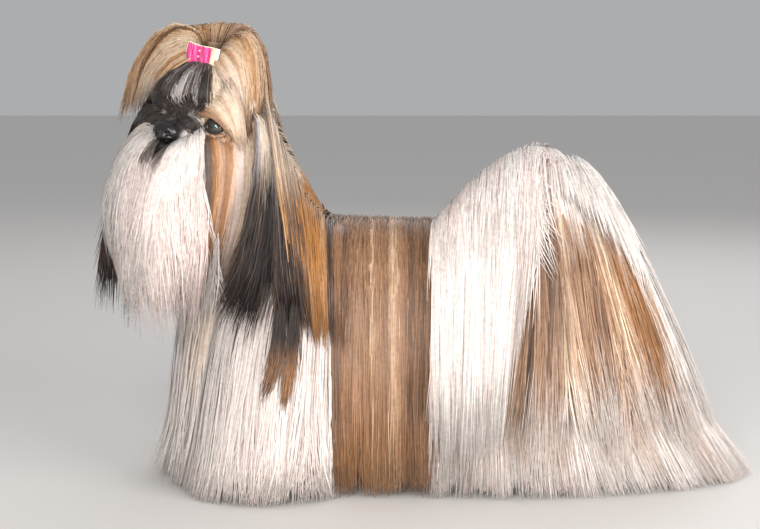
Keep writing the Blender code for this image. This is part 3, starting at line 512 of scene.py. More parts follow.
def moustache_fall(side):
    """From beside the nose out over the cheeks and down. s runs from the lips back to the cheek."""
    wide = {1: (0.032, 0.048, 0.038), -1: (0.074, 0.078, 0.054)}[side]
    low = {1: (0.196, 0.168), -1: (0.228, 0.198)}[side]

    def rib(s):
        turn = math.radians(side * lerp(-4, 96, s))
        ahead = math.cos(turn)
        top = on_head(side * lerp(0.008, 0.024, s), lerp(-0.016, 0.002, s), lerp(0.060, 0.046, s))
        over = bell(math.radians(side * lerp(12, 96, s)), lerp(wide[0], 0.050, ahead), -0.024)
        over += np.array(UP) * lerp(-0.014, 0.010, s)
        down = bell(math.radians(side * lerp(-14, 100, s)), lerp(wide[1], 0.074, ahead), 0.060)
        tip = bell(math.radians(side * lerp(-10, 100, s)), lerp(wide[2], 0.047, ahead), 0.0)
        tip += vec(-0.012, 0, lerp(low[0], low[1], ahead**2) - tip[2])
        return top, over, down, tip

    return Fall(rib, on_head(0, -0.020, 0.049) - vec(0, 0, 0.03), HEAD_BULK)


def beard_fall():
    """From the chin straight down between the halves of the moustache. s runs from right to left."""

    def rib(s):
        turn = math.radians(lerp(-60, 60, s))
        top = on_head(lerp(-0.014, 0.014, s), -0.030, 0.058)
        tip = bell(turn, 0.046, 0.0)
        tip += vec(-0.004, 0, lerp(0.140, 0.182 if s < 0.5 else 0.166, abs(2 * s - 1)) - tip[2])
        return top, bell(turn, 0.056, 0.010), bell(turn, 0.072, 0.064), tip

    return Fall(rib, on_head(0, -0.020, 0.030) - vec(0, 0, 0.05), HEAD_BULK)


def cheek_fall(side):
    """s runs from the inner corner of the eye back to the ear."""

    def rib(s):
        top = on_head(side * lerp(0.026, 0.056, s), -0.0035 + 0.010 * s**2, 0.050 - 0.036 * max(s, 0) ** 1.5)
        over = on_head(side * lerp(0.041, 0.074, s), -0.018, lerp(0.062, 0.018, s))
        down = on_head(side * lerp(0.043, 0.075, s), -0.070, lerp(0.048, 0.004, s))
        tip = on_head(side * lerp(0.030, 0.054, s), lerp(-0.178, -0.160, s), lerp(0.046, 0.016, s))
        return top, over, down, tip

    return Fall(rib, np.array(HEAD) - vec(0, 0, 0.05), HEAD_BULK)


def forehead_fall():
    """From the brow up to the band. t runs upwards here."""

    def rib(s):
        spread = math.sqrt(max(1 - (0.86 * s) ** 2, 0.05))
        top = on_head(0.052 * s, BROW_UP, 0.054 * spread)
        over = on_head(0.057 * s, 0.034, 0.067 * spread)
        down = on_head(0.034 * s, 0.060, 0.046 * spread)
        tip = on_head(BAND_PLACE[0] + 0.007 * s, BAND_PLACE[1] - 0.003, BAND_PLACE[2] + 0.009 * spread)
        return top, over, down, tip

    return Fall(rib, HEAD, HEAD_BULK, span=(-1.4, 1.4))


def fringe_fall():
    """The dark hair that lies over the dog's right eye. s runs from the lower lid to the brow."""
    return head_fall(
        HEAD,
        ((-0.012, 0.002, 0.055), (-0.025, 0.001, 0.055), (-0.040, -0.008, 0.052), (-0.056, -0.026, 0.042)),
        ((-0.024, 0.014, 0.051), (-0.038, 0.012, 0.053), (-0.052, 0.003, 0.046), (-0.063, -0.016, 0.034)),
    )


def brow_fall():
    """The pale hair from the forehead's side over the left eye. s runs from the lid outwards."""
    return head_fall(
        HEAD,
        ((0.017, 0.012, 0.052), (0.030, 0.0145, 0.0540), (0.051, 0.0150, 0.047), (0.064, -0.020, 0.040)),
        ((0.036, 0.052, 0.040), (0.051, 0.040, 0.045), (0.065, 0.020, 0.037), (0.070, -0.036, 0.033)),
    )


def fan_fall(side):
    """The front of the topknot, from the band out and down. s runs from the brow to the outline."""
    broad, low = (0.105, 0.101) if side < 0 else (0.067, 0.056)

    def rib(s):
        top = on_head(
            BAND_PLACE[0] + side * 0.004, BAND_PLACE[1] + 0.005, BAND_PLACE[2] + lerp(0.008, 0.002, s))
        over = on_head(side * lerp(0.018, 0.036, s), lerp(0.078, 0.124, s), lerp(0.026, 0.012, s))
        down = on_head(side * lerp(0.054, broad, s), lerp(0.056, 0.082, s), lerp(0.036, 0.012, s))
        tip = on_head(side * lerp(0.053, low, s), lerp(0.014, -0.024, s), lerp(0.028, 0.006, s))
        return top, over, down, tip

    return Fall(rib, on_head(0, 0.03, -0.15), HEAD_BULK)


def topknot_fall():
    """Up from the band, over and down round the sides and back of the head."""

    def rib(s):
        turn = math.radians(lerp(-38, 212, s))
        out = np.array(LEFT * math.cos(turn) - FORWARD * math.sin(turn))
        band = on_head(*BAND_PLACE)
        up = np.array(UP)
        to_left, to_back = max(math.cos(turn), 0), max(math.sin(turn), 0)
        top = band + out * 0.003 + up * 0.006
        over = band + out * 0.034 + up * (lerp(0.056, 0.058, to_left) + 0.028 * to_back)
        down = np.array(HEAD) + out * lerp(0.098, 0.064, to_left) + up * 0.078
        tip = np.array(HEAD) + out * lerp(0.078, 0.056, to_left) - up * (0.040 + 0.042 * to_back)
        return top, over, down, tip

    return Fall(rib, HEAD, HEAD_BULK)


# Strands of hair


def comb(fall, count, across, roots, tips, depths, width, tint, seed,
         locks, pull, ragged=0.06, steps=5, lift=0.0,
         loose=0.12, reach=None, lean=0.4, sink=0.006, tuck=0.0):
    """Strands that follow a fall, as arrays of centres, sides, crests and colours.

    across is the range of s, roots and tips those of t, and depths how far under the face the
    shallowest and the deepest strands lie. locks is how many locks the fall parts into, pull how
    much each draws its strands together, and lift how far the tips of the loose share of them
    stand off. reach(s) shortens the strands there, lean is how far, in locks, the tip of a lock
    may swing to either side, and sink and tuck how much deeper its root and its tip lie.
    """
    draw = np.random.default_rng(seed)
    order = (np.arange(count) + draw.random(count)) / count
    draw.shuffle(order)
    s = lerp(across[0], across[1], order)[:, None]
    deep = draw.random(count)[:, None] ** 0.8
    root = lerp(roots[0], roots[1], np.clip(deep + np.abs(draw.normal(0, 0.18, (count, 1))), 0, 1))
    lock_step = (across[1] - across[0]) / locks
    own = np.floor((s - across[0]) / lock_step + draw.normal(0, 0.25, (count, 1)))
    spare = 4
    lock = np.clip(own[:, 0] + spare, 0, locks + 2 * spare - 1).astype(int)
    chance = np.random.default_rng(seed + 1).random((locks + 2 * spare, 4))[lock]
    middle = across[0] + lock_step * (own + 0.5 + 0.3 * (chance[:, :1] - 0.5))
    tip = lerp(tips[0], tips[1], 0.55 * chance[:, 1:2] + 0.45 * draw.random((count, 1)))
    tip = tip - np.abs(draw.normal(0, ragged, (count, 1)))
    if reach is not None:
        root, tip = root * reach(s), tip * reach(s)
    down = np.linspace(0, 1, steps + 1)[None, :] ** 1.2
    t = root + np.maximum(tip - root, 0.04) * down
    drawn = pull * down**1.6 * lerp(0.5, 1.0, draw.random((count, 1)))
    turn = draw.random((count, 2)) * 2 * math.pi
    slow, quick = turn[:, :1], turn[:, 1:]
    sway = WANDER * lock_step * (
        np.sin(down * 3.1 + slow) - np.sin(slow) + 0.5 * (np.sin(down * 7 + quick) - np.sin(quick))
    )
    s = s + (middle - s) * drawn + sway * down
    s = s + lean * lock_step * ((chance[:, 3:] - 0.5) * 2 * down**2 + 0.6 * down * np.sin(
        down * lerp(3, 6, chance[:, :1]) + 6.28 * chance[:, 1:2]))
    point, out = fall.frame(s, t)
    under = lerp(depths[0], depths[1], 0.75 * deep + 0.25 * chance[:, 2:3])
    depth = under * (1 - 0.5 * down**2) + sink * np.maximum(1 - down / 0.10, 0) + tuck * down**2
    stray = np.where(draw.random((count, 1)) < loose, lift, 0) * draw.random((count, 1))
    centre = point - out * (depth * fall.bulk - stray * down**2)[..., None]
    centre[..., 2] = np.maximum(centre[..., 2], FLOOR_CLEAR + 0.0012 * draw.random((count, 1)))
    calm = 0.5 * chance[:, 3:] + 0.5 * draw.random((count, 1))
    colour = tint(s, t, centre, calm, draw.random((count, 1)))
    # Painted shade: the deeper a strand lies in the coat, the darker it is made, least at its tip. The deep hair
    # is also a little darker in itself.
    depth_painted_shade = 1 - DEEP_PAINTED_SHADE * (under / max(depths[1], 1e-6)) * lerp(1, 0.35, down)
    colour = colour * (depth_painted_shade * np.exp(draw.normal(0, STRAND_VARIETY, (count, 1))))[..., None]
    profile = np.interp(down, (0, 0.15, 0.55, 0.85, 1), (0.55, 0.95, 1.0, 0.72, 0.14))
    half = width / 2 * profile * lerp(0.7, 1.25, draw.random((count, 1)))
    return ribbon(centre, out, half, draw.normal(0, 0.16, (count, 1)), colour)


def fur(skin, count, kind, seed, width=0.0007, steps=4):
    """Short hair that grows on the head's skin and lies along it.

    kind(place, draw) gives, for places on the head's own axes, the share of them that is covered,
    the way the hair lies, its length, how far its tips stand off and its colours.
    """
    draw = np.random.default_rng(seed)
    mesh = skin.data
    middles = np.zeros(len(mesh.polygons) * 3, np.float32)
    mesh.polygons.foreach_get("center", middles)
    middles = middles.reshape(-1, 3).astype(float)
    tree = BVHTree.FromPolygons([v.co for v in mesh.vertices], [tuple(f.vertices) for f in mesh.polygons])
    share = kind(from_head(middles), draw)[0]
    chosen = draw.choice(len(middles), count, p=share / share.sum())
    root = middles[chosen] + draw.normal(0, 0.0006, (count, 3))
    _, lie, length, rise, colour = kind(from_head(root), draw)
    lie = unit(lie + draw.normal(0, 0.13, lie.shape)) @ AXES
    down = np.linspace(0, 1, steps + 1)
    centre, out = np.zeros((count, steps + 1, 3)), np.zeros((count, steps + 1, 3))
    for i in range(count):
        place, step = root[i], length[i] / steps
        for k in range(steps + 1):
            near, normal = tree.find_nearest(Vector(place))[:2]
            near, normal = np.array(near), np.array(normal)
            centre[i, k] = near + normal * (rise[i] * down[k] ** 1.3 - 0.0004 * (k == 0))
            out[i, k] = normal
            place = near + unit(lie[i] - normal * np.dot(lie[i], normal)) * step
    half = width / 2 * np.array([0.7, 1.0, 1.0, 0.75, 0.15])[None, :] * draw.uniform(0.7, 1.25, (count, 1))
    # The short hair is made darker towards its root, as painted shade where it meets the skin.
    colour = (
        colour[:, None, :] * np.exp(draw.normal(0, 0.05, (count, 1, 1)))
        * lerp(0.8, 1.0, down)[None, :, None]
    )
    return ribbon(centre, out, half, draw.normal(0, 0.25, (count, 1)), colour)


def ribbon(centre, out, half, roll, colour):
    """Gives strands their left and right edges and crest, turned about their own line by roll."""
    along = unit(np.gradient(centre, axis=1))
    side = unit(np.cross(out, along))
    crest = np.cross(along, side)
    turned = side * np.cos(roll)[..., None] + crest * np.sin(roll)[..., None]
    crest = crest * np.cos(roll)[..., None] - side * np.sin(roll)[..., None]
    corners = np.stack([
        centre - turned * half[..., None],
        centre + crest * half[..., None] * 0.28,
        centre + turned * half[..., None],
    ], 2)
    corners[..., 2] = np.maximum(corners[..., 2], FLOOR_CLEAR / 2)
    return corners, np.clip(colour, 0.004, 0.95)


def coat(name, batches, material, slot, nodes, unwrap):
    """One joined mesh of closed tapered strands."""
    points, colours, loops, starts, patches = [], [], [], [], []
    base = begun = 0
    for corners, colour in batches:
        count, rings = corners.shape[:2]
        points.append(corners.reshape(-1, 3))
        colours.append(np.repeat(colour[:, :, None, :], 3, axis=2).reshape(-1, 3))
        first = base + np.arange(count)[:, None, None] * rings * 3 + np.arange(rings - 1)[None, :, None] * 3
        quads = []
        for a, b in ((0, 1), (1, 2), (2, 0)):
            quads.append(np.concatenate([first + a, first + a + 3, first + b + 3, first + b], 2))
        quads = np.stack(quads, 2).reshape(-1, 4)
        root = base + np.arange(count)[:, None] * rings * 3
        ends = np.concatenate([root + [0, 1, 2], root + (rings - 1) * 3 + [0, 2, 1]])
        loops.append(np.concatenate([quads.ravel(), ends.ravel()]))
        starts.append(begun + np.concatenate([
            np.arange(len(quads)) * 4, len(quads) * 4 + np.arange(len(ends)) * 3,
        ]))
        begun += len(loops[-1])
        base += count * rings * 3
        at_root = unwrap(corners[:, 0, 1])
        patch = np.zeros((count, rings, 3, 2))
        patch[..., 0] = np.array([0, 0.5, 1])[None, None, :] * PATCH
        patch[..., 1] = np.linspace(0, 1, rings)[None, :, None] * PATCH
        patches.append((patch + at_root[:, None, None, :] * (1 - PATCH)).reshape(-1, 2))
    points, loops, starts = np.concatenate(points), np.concatenate(loops), np.concatenate(starts)
    mesh = bpy.data.meshes.new(name)
    mesh.vertices.add(len(points))
    mesh.vertices.foreach_set("co", (points + SHIFT).astype(np.float32).ravel())
    mesh.loops.add(len(loops))
    mesh.loops.foreach_set("vertex_index", loops.astype(np.int32))
    mesh.polygons.add(len(starts))
    mesh.polygons.foreach_set("loop_start", starts.astype(np.int32))
    mesh.update(calc_edges=True)
    edges = np.zeros(len(mesh.edges) * 2, np.int32)
    mesh.edges.foreach_get("vertices", edges)
    place = edges.reshape(-1, 2) % 3
    sharp = (place[:, 0] == place[:, 1]) & (place[:, 0] != 1)
    mesh.attributes.new("sharp_edge", "BOOLEAN", "EDGE").data.foreach_set("value", sharp)
    paint(mesh, np.concatenate(colours))
    spread = mesh.uv_layers.new(name="OFBake")
    spread.data.foreach_set("uv", np.concatenate(patches)[loops].astype(np.float32).ravel())
    mesh.materials.append(material)
    return dress(linked(name, mesh), slot, *nodes)


def paint(mesh, colours):
    tint = mesh.color_attributes.new("tint", "FLOAT_COLOR", "POINT")
    opaque = np.concatenate([colours, np.ones((len(colours), 1))], 1)
    tint.data.foreach_set("color", opaque.astype(np.float32).ravel())


def linked(name, mesh):
    thing = bpy.data.objects.new(name, mesh)
    bpy.context.scene.collection.objects.link(thing)
    return thing


def select(*things):
    """Selects these things alone, with the first as the active one."""
    bpy.ops.object.select_all(action="DESELECT")
    for thing in things:
        thing.select_set(True)
    bpy.context.view_layer.objects.active = things[0]


def rounded(thing):
    """Shades a thing smooth all over."""
    thing.data.polygons.foreach_set("use_smooth", [True] * len(thing.data.polygons))


def on_head_matrix(point):
    """Takes a mesh from the head's own axes to a point of the dog's frame."""
    return Matrix.Translation(point) @ Matrix(AXES.T.tolist()).to_4x4()


def put_points(mesh, points):
    mesh.vertices.foreach_set("co", points.astype(np.float32).ravel())


def dress(piece, slot, *nodes):
    """Fixes a piece to the dog and hides the solids it stands for."""
    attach(piece, "root")
    if nodes:
        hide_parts(*nodes)
    return piece


# Markings
#
# Each gives the colours of strands from s and t along them, the place at of each of their points,
# a chance r that is half its lock's and half its own, and a chance q of its own.


def torso_marks(s, t, at, r, q):
    """Brown, tan and cream streaks, with a golden hem in front and a white one towards the plume."""
    x = at[..., :1, 0]
    streak = 0.50 * ripple(x, 0.014, 3) + 0.28 * ripple(x, 0.0045, 4) + 0.22 * r
    streak = contrast(streak, 1.35)
    colour = ramp(streak, UMBER, BROWN, BROWN, TAN, TAN, BEIGE, CREAM)
    low = smooth(0.10, 0.02, at[..., 2]) * smooth(0.06, -0.08, x)
    colour = mix(colour, ramp(streak, BROWN, ORANGE, GOLD), 0.55 * low)
    grey = smooth(-0.052, -0.078, x) * smooth(0.06, 0.14, at[..., 2])
    colour = mix(colour, ramp(streak, BROWN, TAN, SILVER), 0.4 * grey)
    colour = mix(colour, ramp(streak, BROWN, TAN, BEIGE), 0.35 * smooth(0.225, 0.258, at[..., 2]))
    hem = smooth(0.066, 0.048, at[..., 2] + 0.020 * (q - 0.5)) * smooth(0.002, 0.014, x)
    return mix(colour, white_marks(s, t, at, r, q), hem)


def hip_marks(s, t, at, r, q):
    """Golden brown with dark and pale streaks, white at the hem and at the back."""
    x = s[..., :1]
    streak = 0.5 * ripple(x, 0.11, 13) + 0.25 * ripple(x, 0.035, 14) + 0.25 * r
    colour = ramp(streak, UMBER, BROWN, TAN, GOLD, GOLD, BEIGE)
    # Painted shade under the plume: the hair beside the front of the plume, halfway up the hip, is darkened.
    painted_plume_shade = smooth(0.10, 0.20, x) * smooth(0.52, 0.36, x) * smooth(0.10, 0.17, at[..., 2])
    colour = mix(colour, ramp(r, BLACK, UMBER, TAN), 0.45 * painted_plume_shade)
    pale = smooth(0.70, 0.80, ripple(x, 0.06, 17) * 0.7 + 0.3 * q) * smooth(0.18, 0.12, at[..., 2])
    colour = mix(colour, CREAM, 0.6 * pale)
    edge = 0.072 + 0.050 * (ripple(x, 0.05, 19) - 0.5) + 0.030 * (q - 0.5)
    colour = mix(colour, white_marks(s, t, at, r, q), smooth(edge + 0.010, edge - 0.008, at[..., 2]))
    back = smooth(-0.008, 0.010, at[..., 0] - saddle_edge(at[..., 2]) + 0.014 * (q - 0.5))
    return mix(colour, white_marks(s, t, at, r, q), back)


def white_marks(s, t, at, r, q):
    """White with pink, cool and ash streaks, and painted light that brightens the rear hem, where the lamps reach
    it less.
    """
    streak = 0.35 * ripple(s[..., :1], 0.07, 23) + 0.25 * ripple(s[..., :1], 0.02, 24) + 0.4 * r
    streak = contrast(streak, 1.3)
    colour = ramp(streak, ASH_WHITE, PINK_WHITE, WHITE, WHITE, COOL_WHITE)
    # Painted light: the white low down at the rear is made brighter.
    low = smooth(0.16, 0.06, at[..., 2]) * smooth(0.02, 0.12, at[..., 0])
    return colour * (1 + 0.24 * low)[..., None]


def bib_marks(s, t, at, r, q):
    """White, with a cream patch on the left of the chest."""
    colour = white_marks(s, t, at, r, q)
    x, z = at[..., 0], at[..., 2]
    patch = smooth(0.10, 0.135, z) * smooth(0.19, 0.165, z) * smooth(0.045, 0.015, np.abs(x + 0.198))
    return mix(colour, ramp(q, CREAM, BEIGE), 0.6 * patch * (at[..., 1] < 0))


def neck_marks(s, t, at, r, q):
    """Golden, paler up behind the ear and browner where it meets the trunk."""
    x = s[..., :1]
    streak = 0.45 * ripple(x, 0.12, 33) + 0.3 * ripple(x, 0.035, 34) + 0.25 * r
    streak = contrast(streak, 1.4)
    colour = ramp(streak, UMBER, UMBER, BROWN, ORANGE, ORANGE, GOLD, BEIGE)
    high = smooth(0.275, 0.315, at[..., 2] + 0.02 * (q - 0.5))
    pale = smooth(0.35, 0.6, ripple(x, 0.05, 35) * 0.5 + 0.4)
    colour = mix(colour, ramp(r, BEIGE, CREAM, PINK_WHITE), 0.80 * high * pale)
    return mix(colour, ramp(streak, UMBER, BROWN, TAN, BEIGE), 0.8 * smooth(0.62, 0.92, x))


def wisp_marks(s, t, at, r, q):
    """Black where it leaves the ear, then golden brown."""
    colour = ramp(r, UMBER, BROWN, TAN, ORANGE)
    return mix(colour, BLACK, 0.95 * smooth(0.62, 0.42, t + 0.10 * (q - 0.5)))


def ear_marks(s, t, at, r, q):
    """Silver and cream where the ear begins, then black."""
    colour = ramp(r, BLACK, BLACK, BLACK, UMBER, SLATE)
    top = smooth(0.50, 0.26, t + 0.12 * (q - 0.5))
    streak = 0.5 * r + 0.5 * ripple(s[..., :1], 0.12, 83)
    colour = mix(colour, ramp(streak, SLATE, SILVER, LILAC, CREAM, SILVER), top)
    wisp = smooth(0.90, 1.0, t) * smooth(0.3, 0.6, s)
    return mix(colour, ramp(r, BROWN, GOLD), wisp)


def fringe_marks(s, t, at, r, q):
    return ramp(r, BLACK, BLACK, UMBER)


def brow_marks(s, t, at, r, q):
    """Cream and beige, brown next to the eye."""
    x = s[..., :1] + 0.10 * (q - 0.5)
    colour = ramp(np.clip(x, 0, 1), TAN, BEIGE, CREAM, BEIGE, CREAM, BEIGE) * 0.88
    colour = mix(colour, ramp(r, PINK_WHITE, CREAM), 0.5 * smooth(0.5, 0.8, ripple(x, 0.12, 77)))
    colour = mix(colour, ramp(r, BROWN, TAN), 0.55 * smooth(0.22, 0.05, x))
    return mix(colour, ramp(r, BEIGE, PEACH), 0.5 * smooth(0.6, 1.0, t))


def mane_marks(s, t, at, r, q):
    """Golden behind the far ear, white in front."""
    colour = white_marks(s, t, at, r, q)
    x = s[..., :1]
    streak = ramp(0.5 * ripple(x, 0.07, 87) + 0.5 * r, BROWN, GOLD, BEIGE, CREAM)
    return mix(colour, streak, smooth(0.42, 0.22, x + 0.10 * (q - 0.5)))


def far_ear_marks(s, t, at, r, q):
    return ramp(r, BLACK, UMBER, SLATE, BROWN)


def cheek_marks(s, t, at, r, q):
    """Brown next to the white of the muzzle, then orange, peach and cream stripes."""
    x = np.clip(s[..., :1] + 0.06 * (q - 0.5), 0, 1)
    colour = ramp(x, UMBER, UMBER, BROWN, ORANGE, PEACH, TAN, ORANGE, PEACH, PINK_WHITE, BEIGE, CREAM, BEIGE)
    stripe = smooth(0.50, 0.70, ripple(x, 0.045, 73))
    colour = mix(colour, ramp(r, BROWN, TAN, ORANGE), 0.65 * stripe)
    pale = smooth(0.60, 0.85, ripple(x, 0.07, 75)) * smooth(0.25, 0.45, x)
    colour = mix(colour, ramp(r, PINK_WHITE, CREAM), 0.4 * pale)
    return mix(colour, ramp(r, BLACK, UMBER, BROWN), 0.85 * smooth(0.27, 0.15, x) * smooth(0.95, 0.6, t))


def lip_share(at, q):
    """Where the hair under the nose is dark."""
    local = from_head(at)
    wide = np.abs(local[..., 0]) + 0.004 * (q - 0.5)
    high = smooth(-0.046, -0.036, local[..., 1] + 0.008 * (q - 0.5))
    return smooth(0.0140, 0.0105, wide) * high * (local[..., 2] > 0.03)


def moustache_marks(side):
    def marks(s, t, at, r, q):
        colour = ramp(r, PINK_WHITE, WHITE, WHITE, COOL_WHITE)
        lips = lip_share(at, q)
        middle = smooth(0.40, 0.10, s) * smooth(0.15, 0.35, t) * smooth(1.0, 0.6, t)
        colour = mix(colour, ramp(r, PINK, PINK_WHITE), 0.6 * middle)
        colour = mix(colour, ramp(r, BLACK, UMBER), 0.92 * lips)
        if side < 0:
            return mix(colour, CREAM, 0.7 * smooth(0.70, 0.98, s))
        return mix(colour, PEACH, 0.5 * smooth(0.88, 1.0, s))
    return marks


def beard_marks(s, t, at, r, q):
    """Pink white, dark at the lips."""
    colour = ramp(r, PINK, PINK_WHITE, PINK_WHITE, WHITE)
    return mix(colour, ramp(r, BLACK, UMBER), 0.9 * lip_share(at, q))


def forehead_marks(s, t, at, r, q):
    """Black with a silver blaze, cream towards the left eye and tan at the far edge."""
    x = s[..., :1] + 0.16 * (q - 0.5)
    dark = ramp(r, BLACK, BLACK, UMBER, SLATE)
    outer = ramp(r, BEIGE, CREAM, PINK_WHITE)
    colour = mix(dark, outer, smooth(0.58, 0.68, x))
    colour = mix(colour, ramp(r, TAN, GOLD, BEIGE), smooth(-0.84, -0.96, x))
    centre = lerp(-0.10, 0.10, t)
    blaze = smooth(lerp(0.20, 0.07, t), lerp(0.08, 0.02, t), np.abs(x - centre)) * smooth(1.0, 0.5, t)
    blaze = np.maximum(blaze, 0.5 * smooth(0.06, 0.02, np.abs(x - 0.30)) * smooth(0.9, 0.5, t))
    middle = smooth(0.2, 0.5, t) * smooth(0.9, 0.7, t)
    blaze = np.maximum(blaze, 0.4 * smooth(0.07, 0.02, np.abs(x + 0.45)) * middle)
    return mix(colour, ramp(r, SILVER, WHITE), 0.85 * blaze)


def fan_marks(side):
    def marks(s, t, at, r, q):
        x = s[..., :1]
        streak = 0.5 * ripple(x, 0.11, 53 + side) + 0.25 * ripple(x, 0.03, 54 + side) + 0.25 * r
        streak = contrast(streak, 1.4)
        colour = ramp(streak, BROWN, TAN, GOLD, BEIGE, BEIGE, CREAM, CREAM)
        if side > 0:
            colour = mix(
                colour, ramp(r, PINK_WHITE, CREAM), 0.75 * smooth(0.34, 0.10, x) * smooth(0.30, 0.7, t))
            colour = mix(colour, ramp(r, TAN, GOLD), 0.5 * smooth(0.78, 0.95, x))
        else:
            colour = mix(colour, WHITE, 0.6 * smooth(0.45, 0.1, x) * smooth(0.75, 0.9, t))
            colour = mix(colour, ramp(r, TAN, GOLD, GOLD), 0.6 * smooth(0.72, 0.92, x) * smooth(0.3, 0.6, t))
        # Painted shade where the hair springs from the band: darker streaks close to it.
        painted_band_shade = smooth(0.30, 0.04, t) * smooth(0.35, 0.6, ripple(x, 0.09, 57))
        return mix(colour, ramp(r, UMBER, BROWN), 0.7 * painted_band_shade)
    return marks


def topknot_marks(s, t, at, r, q):
    """Golden and beige streaks, with painted shade in brown at the band."""
    x = s[..., :1]
    streak = 0.4 * ripple(x, 0.05, 43) + 0.3 * ripple(x, 0.015, 44) + 0.3 * r
    colour = ramp(streak, BROWN, TAN, GOLD, BEIGE, BEIGE, CREAM)
    return mix(colour, BROWN, 0.7 * smooth(0.16, 0.03, t))


# The back edge of the golden saddle: height and how far back
SADDLE_EDGE = (
    (0.08, 0.256), (0.111, 0.248), (0.205, 0.216), (0.238, 0.185),
    (0.258, 0.157), (0.267, 0.1315), (0.283, 0.110),
)


def saddle_edge(z):
    """How far back the golden saddle of the left side reaches at a height."""
    heights, reaches = zip(*SADDLE_EDGE)
    return np.interp(z, heights, reaches)


def saddle_share(at, q):
    """Where the golden saddle shows on the left side, between the plume and the rear outline."""
    x, z = at[..., 0], at[..., 2] + 0.010 * (q - 0.5)
    back = smooth(0.005, -0.005, x - saddle_edge(z) + 0.010 * (q - 0.5))
    return back * smooth(0.286, 0.279, z)


def tail_back_marks(s, t, at, r, q):
    """White along the crest and the back, golden on the near side under the crest."""
    x = s[..., :1]
    streak = 0.45 * ripple(x, 0.035, 63) + 0.30 * ripple(x, 0.010, 64) + 0.25 * r
    streak = contrast(streak, 1.35)
    gold = ramp(streak, UMBER, BROWN, BROWN, TAN, TAN, BEIGE, CREAM)
    along, z = at[..., 0], at[..., 2]
    # Painted shade under the crest of the plume, on the near side's golden hair.
    painted_plume_shade = smooth(0.085, 0.110, along) * smooth(0.165, 0.135, along)
    painted_plume_shade = painted_plume_shade * smooth(0.13, 0.17, z) * smooth(0.262, 0.240, z)
    gold = mix(gold, ramp(r, UMBER, UMBER, BROWN, TAN), 0.65 * painted_plume_shade)
    warm = smooth(0.60, 0.75, ripple(x, 0.045, 65))
    gold = mix(gold, ramp(r, BROWN, ORANGE, ORANGE), 0.45 * warm)
    pale = smooth(0.72, 0.84, ripple(x, 0.030, 67)) * smooth(0.15, 0.10, at[..., 2])
    gold = mix(gold, CREAM, 0.7 * pale)
    colour = mix(white_marks(s, t, at, r, q), gold, saddle_share(at, q) * (at[..., 1] < -0.01))
    edge = 0.074 + 0.016 * smooth(0.15, 0.24, at[..., 0])
    edge = edge + 0.050 * (ripple(x, 0.022, 69) - 0.5) + 0.030 * (q - 0.5)
    return mix(colour, white_marks(s, t, at, r, q), smooth(edge + 0.008, edge - 0.008, at[..., 2]))


def face_fur(place, draw):
    """The short hair round the eyes, over the nose and on the lips and cheeks."""
    x, y, z = place.T
    side = np.where(x < 0, -1.0, 1.0)
    wide = np.abs(x)
    chance, more = draw.random(len(x)), draw.random(len(x))
    off_eye = np.hypot((wide - EYE_PLACE[0]) / LID_LENGTHENING, y - EYE_PLACE[1])
    bridge = smooth(0.015, 0.009, wide) * smooth(-0.006, 0.002, y)
    brow = smooth(0.007, 0.010, y) * smooth(0.014, 0.019, wide)
    share = (z > 0.012) * (y > -0.050) * (y < 0.030) * smooth(0.0064, 0.0074, off_eye)
    share = share * (1 - 0.90 * smooth(0.022, 0.027, wide) * smooth(-0.004, -0.009, y))
    share = share * (1 - 0.75 * smooth(0.016, 0.022, x) * smooth(0.009, 0.013, y))
    share = share * smooth(0.0095, 0.0110, np.where(z > 0.050, np.hypot(x / 1.25, y - NOSE_PLACE[1]), 1))
    share = share * (1 + 1.2 * smooth(0.044, 0.050, z)) * (1 - 0.4 * brow) * (0.3 + 0.7 * (z > 0.03)) + 1e-9
    lie = np.stack([
        side * lerp(lerp(0.9, 0.30, bridge), 1.0, brow) * smooth(0.0, 0.006, wide),
        np.where(y > 0.009, lerp(1.0, 0.25, brow), lerp(-0.55, 1.0, bridge))
        - 0.5 * smooth(-0.012, -0.030, y),
        -0.10 * np.ones_like(x),
    ], 1)
    length = lerp(lerp(0.012, 0.0055, bridge), 0.0090, brow) * (0.8 + 0.4 * more)
    length = np.where(off_eye < 0.0115, 0.0040, length)
    lip = smooth(0.012, 0.008, wide) * smooth(-0.014, -0.018, y) * smooth(-0.034, -0.030, y)
    length = np.where(lip > 0.5, 0.0035, length)
    rise = lerp(0.0003 + 0.06 * length, 0.0004, np.maximum(brow, bridge))
    colour = ramp(chance, PINK_WHITE, WHITE, WHITE)
    peach = smooth(0.026, 0.032, x) * smooth(0.002, -0.003, y)
    colour = mix(colour, ramp(chance, BROWN, ORANGE, PEACH, BEIGE), peach)
    colour = mix(colour, ramp(chance, BEIGE, CREAM, CREAM), smooth(0.018, 0.022, x) * smooth(0.0, 0.003, y))
    low, high = -0.0045 + 0.20 * np.maximum(0.012 - wide, 0), 0.008 + 0.25 * np.maximum(0.012 - wide, 0)
    band = smooth(low - 0.0015, low + 0.0005, y) * smooth(high + 0.001, high - 0.001, y)
    band = band * smooth(0.024, 0.020, x)
    far_dark = smooth(-0.018, -0.022, x) * smooth(-0.006, -0.002, y)
    lashes = smooth(0.0088, 0.0076, off_eye) * smooth(0.000, 0.003, y) * smooth(0.048, 0.044, x)
    corner = smooth(0.0040, 0.0020, np.abs(x - 0.0235 + 0.15 * (y + 0.002)))
    corner = corner * smooth(0.005, 0.002, y) * smooth(-0.045, -0.020, y)
    black_top = smooth(0.0075, 0.0095, y) * smooth(0.026, 0.021, x)
    dark = np.maximum.reduce([band, far_dark, lashes, lip, 0.85 * corner, black_top])
    colour = mix(colour, ramp(chance, BLACK, BLACK, UMBER), np.clip(dark, 0, 1))
    return share, lie, length, rise, colour


# Materials


